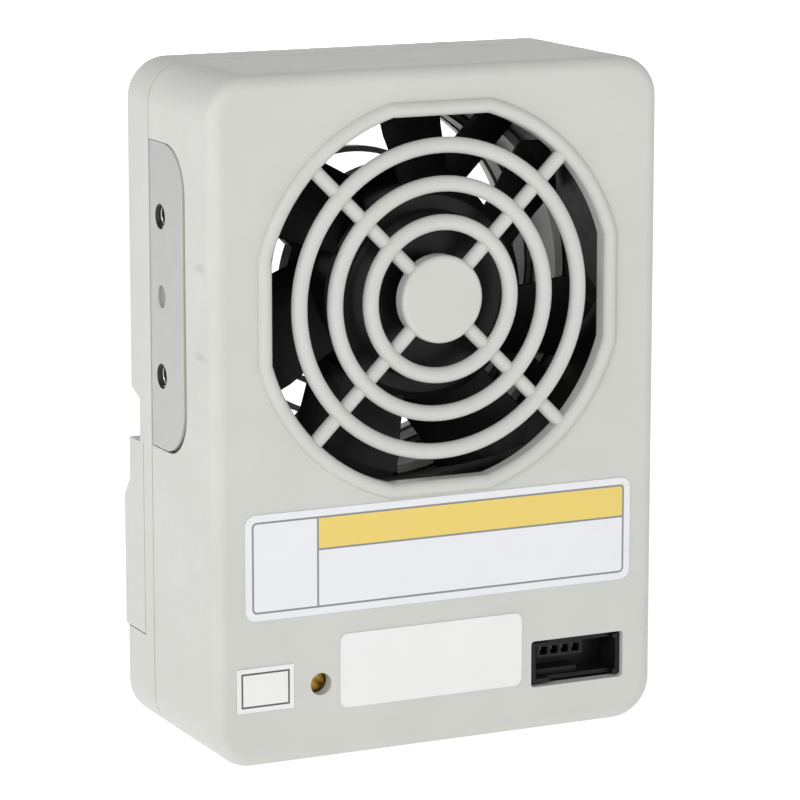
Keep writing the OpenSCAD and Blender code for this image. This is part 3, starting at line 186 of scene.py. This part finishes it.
def round_spot(tree, first, second, middle, radius):
    """1 inside a circle in the plane of two coordinates."""
    offsets = [distance_from(tree, v, m) for v, m in zip((first, second), middle)]
    return calc(tree, "LESS_THAN", length_of(tree, *offsets), radius)


def tint(tree, shader, mask, colour):
    """Lays a colour over the shader's own where the mask is 1."""
    under = shader.inputs["Base Color"].links[0].from_socket
    tree.links.new(blend_colours(tree, mask, under, colour), shader.inputs["Base Color"])


MOULDED_CLOUD = 12 * MM
MOULDED_GRAIN = 0.006 * MM
CASE_COLOURS = ((0.452, 0.456, 0.430), (0.476, 0.480, 0.454))
# Painted shade for the shallow sinks over inner ribs on the side faces.
SINK_SHADE_COLOUR = (0.375, 0.38, 0.36)
SINK_HEIGHTS = (81.4 * MM, 67.1 * MM)
SINK_Y = -13.6 * MM
SINK_LENGTH = 7.5 * MM
SINK_WIDTH = 2.2 * MM
# Painted shade on the housing seen down each plate's plain hole.
PEG_SHADE_COLOUR = (0.20, 0.205, 0.19)
PEG_RADIUS = 2.2 * MM
SIDE_DEPTH = 2 * MM
thread_mounts = {m["name"]: m for m in frame["record"]["mounts"] if m["name"].startswith("side_threads")}


def case_plastic(name):
    """The grey skin, with painted shade in two faint sinks over ribs and painted shade on the pegs in the
    plates' plain holes.
    """
    finish, tree, shader = new_finish(name)
    skin(tree, shader, CASE_COLOURS, MOULDED_CLOUD, (0.42, 0.50), MOULDED_GRAIN)
    shader.inputs["Specular IOR Level"].default_value = 0.3
    across, along, up = point_parts(tree)
    outside = calc(tree, "GREATER_THAN", distance_from(tree, across, 0.0), cad_high.x - SIDE_DEPTH)
    # Painted shade in the two sinks over ribs.
    for height in SINK_HEIGHTS:
        sink_shade = both(tree, near(tree, along, SINK_Y, SINK_LENGTH / 2), near(tree, up, height, SINK_WIDTH / 2))
        tint(tree, shader, both(tree, outside, sink_shade), SINK_SHADE_COLOUR)
    _, hole_y, middle_z = thread_mounts["side_threads_left"]["pos_m"]
    # Painted shade on the peg in the plate's plain hole.
    peg_shade = round_spot(tree, along, up, (hole_y, middle_z), PEG_RADIUS)
    tint(tree, shader, both(tree, outside, peg_shade), PEG_SHADE_COLOUR)
    return finish


dress(case_plastic("case_plastic"), "intake_housing", "outlet_cover", "cartridge_cover")


# ---- Side plates
# Stainless sheet, 1.2 mm, let into the housing's walls. The faces are belt-ground along
# the height, and each plate has two extruded and tapped M4 collars.

SCRATCH_SIZE = 0.12 * MM
SCRATCH_HEIGHT = 0.002 * MM


def metal_finish(name, colours, gloss, cloud=4 * MM, stretch=NO_STRETCH):
    """Metal whose scratches are drawn out by `stretch`."""
    finish, tree, shader = new_finish(name)
    shader.inputs["Metallic"].default_value = 1.0
    clouds = spread(tree, grain(tree, cloud), 0.0, 1.0)
    tree.links.new(blend_colours(tree, clouds, *colours), shader.inputs["Base Color"])
    scratches = grain(tree, SCRATCH_SIZE, 3.0, stretch)
    tree.links.new(spread(tree, scratches, *gloss), shader.inputs["Roughness"])
    relief(tree, shader, scratches, SCRATCH_HEIGHT, 0.5)
    return finish


def within(tree, value, low, high):
    """1 where a value lies between two limits."""
    return calc(tree, "LESS_THAN", distance_from(tree, value, (low + high) / 2), (high - low) / 2)


PLATE_COLOURS = ((0.435, 0.435, 0.430), (0.452, 0.452, 0.447))
# From, to and colour, in from the face; the first starts above it to take in its very rim.
# The first band is a painted highlight along the rim, the second a dull olive tone on the edge face, the
# last a painted shadow deep in the gap to the housing.
EDGE_HIGHLIGHT_AND_SHADOW_BANDS = (
    (-0.20 * MM, 0.22 * MM, (0.66, 0.66, 0.63)),
    (0.22 * MM, 0.58 * MM, (0.42, 0.43, 0.36)),
    (0.58 * MM, 2.00 * MM, (0.07, 0.07, 0.06)))
# Painted shade in the mouths of the tapped holes.
MOUTH_SHADE_COLOUR = (0.035, 0.033, 0.030)
MOUTH_RADIUS = 2.08 * MM


def plate_steel(name):
    """Ground steel with a painted highlight along the rims of its edges, painted shadow deeper down them,
    and painted shade in the mouths round the threads.
    """
    finish = metal_finish(name, PLATE_COLOURS, (0.30, 0.38), stretch=(1, 1, 30))
    tree = finish.node_tree
    shader = tree.nodes["Principled BSDF"]
    across, along, up = point_parts(tree)
    facing = add(tree, "ShaderNodeNewGeometry", {}).outputs["Normal"]
    sideways = add(tree, "ShaderNodeSeparateXYZ", {"Vector": facing}).outputs["X"]
    edge = calc(tree, "LESS_THAN", distance_from(tree, sideways, 0.0), 0.5)
    mount = thread_mounts["side_threads_left"]
    face_x, hole_y, middle_z = mount["pos_m"]
    depth = distance_from(tree, distance_from(tree, across, 0.0), abs(face_x))
    # Painted highlight, olive edge tone and painted shadow, in bands down the plate's edges.
    for top, bottom, colour in EDGE_HIGHLIGHT_AND_SHADOW_BANDS:
        tint(tree, shader, both(tree, edge, within(tree, depth, top, bottom)), colour)
    # Painted shade round each thread's mouth.
    for step in (-0.5, 0.5):
        middle = (hole_y, middle_z + step * mount["dims"]["spacing_y_mm"] * MM)
        tint(tree, shader, round_spot(tree, along, up, middle, MOUTH_RADIUS), MOUTH_SHADE_COLOUR)
    tree.links.new(calc(tree, "SUBTRACT", 1.0, edge), shader.inputs["Metallic"])
    return finish


dress(plate_steel("plate_steel"), "side_plate_left", "side_plate_right")
THREAD_COLOURS = ((0.55, 0.55, 0.54), (0.65, 0.65, 0.64))
thread_finish = metal_finish("thread_steel", THREAD_COLOURS, (0.18, 0.30))

# The M4 screw thread in the collars stands a little inside the drilled wall, and starts
# and ends short of the plate's faces.
THREAD_PITCH = 0.7 * MM
THREAD_RIDGE = 0.16 * MM
THREAD_START = 0.4 * MM
THREAD_SHORT = 0.6 * MM


def thread_tree(finish):
    """A spiral ridge along Z, from the wall of a hole inwards."""
    tree = bpy.data.node_groups.new("screw_thread", "GeometryNodeTree")
    sizes = ("Hole radius", "Pitch", "Turns", "Ridge")
    for name in sizes:
        tree.interface.new_socket(name, in_out="INPUT", socket_type="NodeSocketFloat")
    tree.interface.new_socket("Thread", in_out="OUTPUT", socket_type="NodeSocketGeometry")
    given = add(tree, "NodeGroupInput", {})
    radius, pitch, turns, ridge = (given.outputs[name] for name in sizes)
    spiral = add(tree, "GeometryNodeCurveSpiral", {
        "Resolution": 32, "Rotations": turns, "Start Radius": radius, "End Radius": radius,
        "Height": calc(tree, "MULTIPLY", pitch, turns)})
    profile = add(tree, "GeometryNodeCurvePrimitiveCircle", {"Resolution": 6, "Radius": ridge})
    sweep = add(tree, "GeometryNodeCurveToMesh", {
        "Curve": spiral.outputs["Curve"], "Profile Curve": profile.outputs["Curve"], "Fill Caps": True})
    real = add(tree, "GeometryNodeRealizeInstances", {"Geometry": sweep.outputs["Mesh"]})
    coated = add(tree, "GeometryNodeSetMaterial", {"Geometry": real.outputs["Geometry"], "Material": finish})
    out = add(tree, "NodeGroupOutput", {})
    tree.links.new(coated.outputs["Geometry"], out.inputs[0])
    return tree


def made_mesh(name, tree, values):
    """Runs a geometry tree with its named inputs and returns the plain mesh."""
    carrier = bpy.data.objects.new(name, bpy.data.meshes.new(name))
    bpy.context.collection.objects.link(carrier)
    modifier = carrier.modifiers.new("make", "NODES")
    modifier.node_group = tree
    for item in tree.interface.items_tree:
        if item.in_out == "INPUT" and item.name in values:
            modifier[item.identifier] = values[item.name]
    bpy.context.view_layer.update()
    evaluated = carrier.evaluated_get(bpy.context.evaluated_depsgraph_get())
    mesh = bpy.data.meshes.new_from_object(evaluated)
    bpy.data.objects.remove(carrier)
    return mesh


def join_meshes(name, parts):
    """One object from (mesh, placement) pairs, its place in its mesh."""
    vertices, faces, finishes = [], [], []
    for mesh, placement in parts:
        start = len(vertices)
        vertices += [placement @ v.co for v in mesh.vertices]
        faces += [[start + i for i in p.vertices] for p in mesh.polygons]
        finishes += [m for m in mesh.materials if m not in finishes]
    joined = bpy.data.meshes.new(name)
    joined.from_pydata(vertices, [], faces)
    for finish in finishes:
        joined.materials.append(finish)
    joined.polygons.foreach_set("use_smooth", [True] * len(joined.polygons))
    piece = bpy.data.objects.new(name, joined)
    bpy.context.collection.objects.link(piece)
    return piece


thread_group = thread_tree(thread_finish)
for side, sign in (("left", -1), ("right", 1)):
    mount = thread_mounts[f"side_threads_{side}"]
    hole_radius = mount["dims"]["hole_r_mm"] * MM
    spacing = mount["dims"]["spacing_y_mm"] * MM
    face_x, hole_y, middle_z = mount["pos_m"]
    plate_low, plate_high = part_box(f"side_plate_{side}")
    collar_depth = plate_high.x - plate_low.x
    turns = (collar_depth - THREAD_SHORT) / THREAD_PITCH
    ridge_mesh = made_mesh("thread", thread_group, {
        "Hole radius": hole_radius, "Pitch": THREAD_PITCH, "Turns": turns, "Ridge": THREAD_RIDGE})
    start_x = face_x - sign * THREAD_START
    turn_in = Matrix.Rotation(-sign * math.pi / 2, 4, "Y")
    threads = join_meshes(f"side_plate_{side}_threads", [
        (ridge_mesh, Matrix.Translation((start_x, hole_y, middle_z + s * spacing / 2)) @ turn_in)
        for s in (-1, 1)])
    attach(threads, "case")


# ---- Screws, bearings, shaft and clip
# Zinc-plated cross-head screws hold the case, the fan and the board. The ground steel
# shaft runs in two ball bearings in the frame's tube and is held by a spring clip.

SMALL_CLOUD = 1.5 * MM
ZINC = ((0.50, 0.52, 0.55), (0.62, 0.63, 0.65))
screw_finish = metal_finish("screw_steel", ZINC, (0.25, 0.40), cloud=SMALL_CLOUD)
dress(screw_finish, "case_screws", "fan_screws", "board_screws", "shaft_clip")
GROUND_STEEL = ((0.58, 0.59, 0.61), (0.66, 0.67, 0.69))
ground_finish = metal_finish("ground_steel", GROUND_STEEL, (0.12, 0.22))
dress(ground_finish, "fan_bearings", "fan_shaft")


# ---- Fan frame and impeller
# Black glass-filled polyester. The frame is dull; the blades and the hub are smoother and
# catch soft highlights along the blade edges.

def moulded_finish(name, colours, gloss, cloud=MOULDED_CLOUD, grain_height=MOULDED_GRAIN, specular=0.5):
    """A plain moulding in one clouded colour."""
    finish, tree, shader = new_finish(name)
    shader.inputs["Specular IOR Level"].default_value = specular
    skin(tree, shader, colours, cloud, gloss, grain_height)
    return finish


FRAME_BLACK = ((0.006, 0.006, 0.006), (0.009, 0.009, 0.009))
BLADE_BLACK = ((0.005, 0.005, 0.005), (0.008, 0.008, 0.009))
BLADE_GRAIN = 0.002 * MM
dress(moulded_finish("fan_plastic", FRAME_BLACK, (0.42, 0.54), specular=0.15), "fan_frame")
blade_finish = moulded_finish(
    "blade_plastic", BLADE_BLACK, (0.32, 0.42), grain_height=BLADE_GRAIN, specular=0.18)
dress(blade_finish, "impeller")


# ---- Motor
# Stamped laminations, enamelled copper coils, a drawn yoke with a bonded ferrite ring,
# and a small ring-shaped driver board.

LAMINATION_STEEL = ((0.22, 0.23, 0.24), (0.30, 0.31, 0.32))
FERRITE = ((0.035, 0.032, 0.030), (0.05, 0.046, 0.042))
lamination_finish = metal_finish("lamination_steel", LAMINATION_STEEL, (0.40, 0.55), stretch=(1, 0.1, 1))
dress(lamination_finish, "stator_core", "rotor_yoke")
dress(moulded_finish("magnet", FERRITE, (0.5, 0.65)), "rotor_magnet")

# Copper with painted shade, for the grooves between strands, and copper with painted highlight, for their
# crests.
WIRE_SHADED_COPPER = (0.30, 0.09, 0.03)
WIRE_LIT_COPPER = (0.66, 0.26, 0.09)
STRAND_PITCH = 1.5708 * MM
STRAND_HEIGHT = 0.125 * MM
# A wave pattern draws this many bands for each unit of its scale.
BANDS_PER_SCALE = 20 / math.tau


def winding_finish(name):
    """Strands of enamelled copper wire, side by side across a coil, with painted shade in the grooves
    between them and painted highlight on their crests.
    """
    finish, tree, shader = new_finish(name)
    shader.inputs["Metallic"].default_value = 1.0
    shader.inputs["Coat Weight"].default_value = 0.6
    strands = add(tree, "ShaderNodeTexWave", {
        "Vector": piece_place(tree), "Scale": 1 / (STRAND_PITCH * BANDS_PER_SCALE),
        "Distortion": 0.4}, bands_direction="Y").outputs["Fac"]
    # Copper banded with painted shade in the grooves and painted highlight on the crests, in step with the
    # relief.
    tree.links.new(blend_colours(tree, strands, WIRE_SHADED_COPPER, WIRE_LIT_COPPER), shader.inputs["Base Color"])
    relief(tree, shader, strands, STRAND_HEIGHT)
    tree.links.new(spread(tree, grain(tree, 2 * MM), 0.22, 0.34), shader.inputs["Roughness"])
    return finish


dress(winding_finish("copper_wire"), "stator_coils")

TRACK_PITCH = 3.2 * MM
TRACK_EDGE = 0.42
TRACK_HEIGHT = 0.03 * MM
RESIST_DARK = (0.006, 0.085, 0.030)
RESIST_PALE = (0.012, 0.130, 0.045)


def board_finish(name):
    """Solder resist with copper tracks that show through as paler lines."""
    finish, tree, shader = new_finish(name)
    cells = add(tree, "ShaderNodeTexVoronoi", {
        "Vector": piece_place(tree), "Scale": 1 / TRACK_PITCH, "Randomness": 0.35},
        distance="CHEBYCHEV", feature="F1")
    track = calc(tree, "GREATER_THAN", cells.outputs["Distance"], TRACK_EDGE)
    tree.links.new(blend_colours(tree, track, RESIST_DARK, RESIST_PALE), shader.inputs["Base Color"])
    tree.links.new(spread(tree, grain(tree, 3 * MM), 0.22, 0.32), shader.inputs["Roughness"])
    relief(tree, shader, track, TRACK_HEIGHT, 0.4)
    return finish


dress(board_finish("circuit_board"), "fan_board", "control_board")
LEAD_RED = ((0.35, 0.02, 0.015), (0.42, 0.03, 0.02))
dress(moulded_finish("lead_insulation", LEAD_RED, (0.35, 0.45)), "fan_leads")


# ---- Electrode cartridge
# A light insulating ring has four arms overmoulded in black. Sockets in them hold the
# tungsten needles, and a tinned strip in a groove of the ring feeds them.

ARM_REACH = 33.2 * MM
RING_COLOURS = ((0.42, 0.425, 0.405), (0.46, 0.465, 0.445))
ARM_BLACK = (0.010, 0.010, 0.011)


def axis_of(node):
    """X and Z of the middle of a round node."""
    low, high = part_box(node)
    return (low.x + high.x) / 2, (low.z + high.z) / 2


def ring_finish(name):
    """Light plastic that turns black at the arms, nearer to the fan's axis."""
    finish, tree, shader = new_finish(name)
    skin(tree, shader, RING_COLOURS, MOULDED_CLOUD, (0.36, 0.46), 0.004 * MM)
    across, _, up = point_parts(tree)
    tint(tree, shader, round_spot(tree, across, up, axis_of("electrode_ring"), ARM_REACH), ARM_BLACK)
    return finish


dress(ring_finish("insulator_light"), "electrode_ring")
BRASS = ((0.62, 0.36, 0.10), (0.74, 0.47, 0.16))
DULL_TIN = ((0.20, 0.20, 0.20), (0.28, 0.28, 0.27))
TUNGSTEN = ((0.42, 0.43, 0.45), (0.50, 0.51, 0.53))
dress(metal_finish("brass", BRASS, (0.24, 0.38), cloud=SMALL_CLOUD), "contact_spring")
tin_finish = metal_finish("dull_tin", DULL_TIN, (0.45, 0.60), cloud=SMALL_CLOUD)
dress(tin_finish, "emitter_sockets", "bus_strip", "connector_contacts")
dress(metal_finish("tungsten", TUNGSTEN, (0.15, 0.25), cloud=1 * MM), "emitter_needles")


# ---- Electronics
# Potted module and components in black epoxy, a black supply socket with tinned contacts,
# a blue trimmer under a brass cap, and three lamps with clear light pipes.

EPOXY_BLACK = ((0.014, 0.014, 0.016), (0.024, 0.024, 0.027))
SOCKET_BLACK = ((0.005, 0.005, 0.005), (0.009, 0.009, 0.009))
epoxy_finish = moulded_finish("component_black", EPOXY_BLACK, (0.30, 0.45), cloud=5 * MM)
dress(epoxy_finish, "board_components", "high_voltage_module")
socket_finish = moulded_finish("connector_black", SOCKET_BLACK, (0.30, 0.40), cloud=3 * MM, specular=0.2)
dress(socket_finish, "power_connector")

TRIMMER_CAP = 2.6 * MM
TRIMMER_BLUE = ((0.02, 0.07, 0.24), (0.03, 0.09, 0.29))
TRIMMER_BRASS = ((0.36, 0.19, 0.035), (0.52, 0.30, 0.07))


def trimmer_finish(name):
    """Blue body with a brass cap round the rotor."""
    finish = moulded_finish(name, TRIMMER_BLUE, (0.30, 0.42))
    tree = finish.node_tree
    shader = tree.nodes["Principled BSDF"]
    across, _, up = point_parts(tree)
    cap = round_spot(tree, across, up, axis_of("trimmer_rotor"), TRIMMER_CAP)
    tint(tree, shader, cap, TRIMMER_BRASS[0])
    return finish


dress(trimmer_finish("trimmer_blue"), "trimmer_body")
dress(metal_finish("trimmer_brass", TRIMMER_BRASS, (0.28, 0.42), cloud=1 * MM), "trimmer_rotor")


ACRYLIC_TINT = (0.80, 0.86, 0.83, 1)
ACRYLIC_IOR = 1.49


def pipe_finish(name):
    """Slightly milky acrylic."""
    finish, tree, shader = new_finish(name)
    shader.inputs["Base Color"].default_value = ACRYLIC_TINT
    shader.inputs["Transmission Weight"].default_value = 0.75
    shader.inputs["IOR"].default_value = ACRYLIC_IOR
    tree.links.new(spread(tree, grain(tree, SMALL_CLOUD), 0.12, 0.22), shader.inputs["Roughness"])
    return finish


dress(pipe_finish("lens"), "indicator_lamps", "light_pipes")


# ---- Labels
# Printed white polyester film with a clear over-laminate. The printed frames are plain:
# the fields that would hold words are left empty.

LINE_GREY = (0.185, 0.190, 0.180)
LINE_DARK = (0.065, 0.065, 0.060)
BAND_YELLOW = (0.620, 0.470, 0.110)
FILM_WAVE = 1.2 * MM
FILM_WAVE_HEIGHT = 0.004 * MM
FILM_COOL = ((0.595, 0.606, 0.630), (0.612, 0.623, 0.648))
FILM_WARM = ((0.618, 0.618, 0.613), (0.635, 0.635, 0.630))


def frame_line(tree, across, up, low, high, inset, corner, width):
    """1 on a line that runs round inside a label's edge with round corners."""
    middle = (low.x + high.x) / 2, (low.z + high.z) / 2
    half = ((high.x - low.x) / 2 - inset, (high.z - low.z) / 2 - inset)
    outside = [
        calc(tree, "SUBTRACT", distance_from(tree, value, centre), reach - corner)
        for value, centre, reach in zip((across, up), middle, half)]
    reach_out = length_of(tree, *(calc(tree, "MAXIMUM", o, 0.0) for o in outside))
    inner = calc(tree, "MINIMUM", calc(tree, "MAXIMUM", *outside), 0.0)
    return within(tree, calc(tree, "ADD", reach_out, inner), corner - width, corner)


def label_finish(name, film, marks):
    """White film; `marks` returns (mask socket, colour) pairs that are printed in order."""
    finish, tree, shader = new_finish(name)
    colour = blend_colours(tree, spread(tree, grain(tree, 6 * MM), 0.0, 1.0), *film)
    across, _, up = point_parts(tree)
    for mask, ink in marks(tree, across, up):
        colour = blend_colours(tree, mask, colour, ink)
    tree.links.new(colour, shader.inputs["Base Color"])
    tree.links.new(spread(tree, grain(tree, 4 * MM), 0.30, 0.38), shader.inputs["Roughness"])
    relief(tree, shader, grain(tree, FILM_WAVE), FILM_WAVE_HEIGHT, 0.3)
    return finish


FRAME_INSET = 1.15 * MM
FRAME_WIDTH = 0.34 * MM
FRAME_CORNER = 0.9 * MM
CELL_WIDTH = 12.9 * MM
BAND_HEIGHT = 5.3 * MM


def wide_marks(tree, across, up):
    """A frame, a square cell at the left, and a coloured band over the rest."""
    low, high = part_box("wide_label")
    cell_x = low.x + CELL_WIDTH
    top = high.z - FRAME_INSET
    band_low = top - BAND_HEIGHT
    right_part = within(tree, across, cell_x, high.x - FRAME_INSET)
    inside_up = within(tree, up, low.z + FRAME_INSET, top)
    band = both(tree, right_part, within(tree, up, band_low, top))
    rule = both(tree, right_part, within(tree, up, band_low - FRAME_WIDTH, band_low))
    divider = both(tree, within(tree, across, cell_x - FRAME_WIDTH, cell_x), inside_up)
    outline = frame_line(tree, across, up, low, high, FRAME_INSET, FRAME_CORNER, FRAME_WIDTH)
    return [(band, BAND_YELLOW), (rule, LINE_GREY), (divider, LINE_GREY), (outline, LINE_GREY)]


SMALL_INSET = 0.75 * MM
SMALL_WIDTH = 0.32 * MM
SMALL_CORNER = 0.05 * MM


def small_marks(tree, across, up):
    """A dark frame with square corners."""
    low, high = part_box("small_label")
    return [(frame_line(tree, across, up, low, high, SMALL_INSET, SMALL_CORNER, SMALL_WIDTH), LINE_DARK)]


def no_marks(tree, across, up):
    """Nothing printed: the field stays bare."""
    return []


dress(label_finish("label_film_wide", FILM_COOL, wide_marks), "wide_label")
dress(label_finish("label_film_small", FILM_WARM, small_marks), "small_label")
dress(label_finish("label_film_rating", FILM_WARM, no_marks), "rating_label")


# ---- Studio
# A plain pale floor, lit evenly like a light table. A soft panel stands above the viewer's
# left, three weaker ones left, right and behind, and the white round them dims upwards.

FLOOR_SIZE = 30.0
FLOOR_WHITE = ((0.955, 0.955, 0.955), (0.975, 0.975, 0.975))
FLOOR_GLOW = 0.50
SKY_LOW = 0.72
SKY_HIGH = 0.50


def backdrop_finish():
    """White board that glows a little."""
    finish, tree, shader = new_finish("pale_floor")
    clouds = spread(tree, grain(tree, 0.4), 0.0, 1.0)
    colour = blend_colours(tree, clouds, *FLOOR_WHITE)
    tree.links.new(colour, shader.inputs["Base Color"])
    shader.inputs["Roughness"].default_value = 0.9
    shader.inputs["Emission Color"].default_value = (1, 1, 1, 1)
    shader.inputs["Emission Strength"].default_value = FLOOR_GLOW
    return finish


floor_mesh = bpy.data.meshes.new("floor")
edge = FLOOR_SIZE / 2
floor_corners = [(-edge, -edge, 0), (edge, -edge, 0), (edge, edge, 0), (-edge, edge, 0)]
floor_mesh.from_pydata(floor_corners, [], [(0, 1, 2, 3)])
floor_mesh.materials.append(backdrop_finish())
floor = bpy.data.objects.new("floor", floor_mesh)
bpy.context.collection.objects.link(floor)


def soft_panel(name, at, aim, size, power):
    """A square light panel that faces a point."""
    light = bpy.data.lights.new(name, "AREA")
    light.shape = "SQUARE"
    light.size = size
    light.energy = power
    panel = bpy.data.objects.new(name, light)
    panel.location = at
    panel.rotation_euler = (Vector(aim) - Vector(at)).to_track_quat("-Z", "Y").to_euler()
    bpy.context.collection.objects.link(panel)


soft_panel("key_panel", at=(-0.78, -0.78, 0.60), aim=(0, 0, 0.06), size=0.5, power=6.3)
soft_panel("left_panel", at=(-0.90, 0.05, 0.08), aim=(0, 0, 0.02), size=0.6, power=2.3)
soft_panel("right_panel", at=(0.50, -1.00, 0.12), aim=(0, 0, 0.04), size=0.6, power=2.0)
soft_panel("back_panel", at=(0.55, 1.05, 0.04), aim=(0, 0, 0.04), size=0.3, power=2.2)

world = bpy.data.worlds.new("surrounding")
world.use_nodes = True
sky = world.node_tree
sky.nodes["Background"].inputs["Color"].default_value = (1, 1, 1, 1)
outwards = add(sky, "ShaderNodeTexCoord", {}).outputs["Generated"]
rise = add(sky, "ShaderNodeSeparateXYZ", {"Vector": outwards})
fall = add(sky, "ShaderNodeMapRange", {
    "Value": rise.outputs["Z"], "From Min": 0.0, "From Max": 1.0, "To Min": SKY_LOW, "To Max": SKY_HIGH})
sky.links.new(fall.outputs["Result"], sky.nodes["Background"].inputs["Strength"])
scene = bpy.context.scene
scene.world = world
scene.view_settings.view_transform = "Standard"


# ---- Camera
# A long lens, a little above the middle of the case and to the left of its face. It has
# no shift and no depth of field.

CAMERA_AT = Vector((-0.26887, -0.56547, 0.17786))
CAMERA_AZIMUTH = math.radians(-25.563)
CAMERA_ELEVATION = math.radians(11.148)
lens = bpy.data.cameras.new("camera")
lens.lens = 172.42
lens.sensor_width = 36.0
lens.clip_start = 0.01
lens.clip_end = 100.0
camera = bpy.data.objects.new("camera", lens)
camera.location = CAMERA_AT
facing = Vector((
    -math.sin(CAMERA_AZIMUTH) * math.cos(CAMERA_ELEVATION),
    math.cos(CAMERA_AZIMUTH) * math.cos(CAMERA_ELEVATION),
    -math.sin(CAMERA_ELEVATION)))
camera.rotation_euler = facing.to_track_quat("-Z", "Y").to_euler()
bpy.context.collection.objects.link(camera)
scene.camera = camera
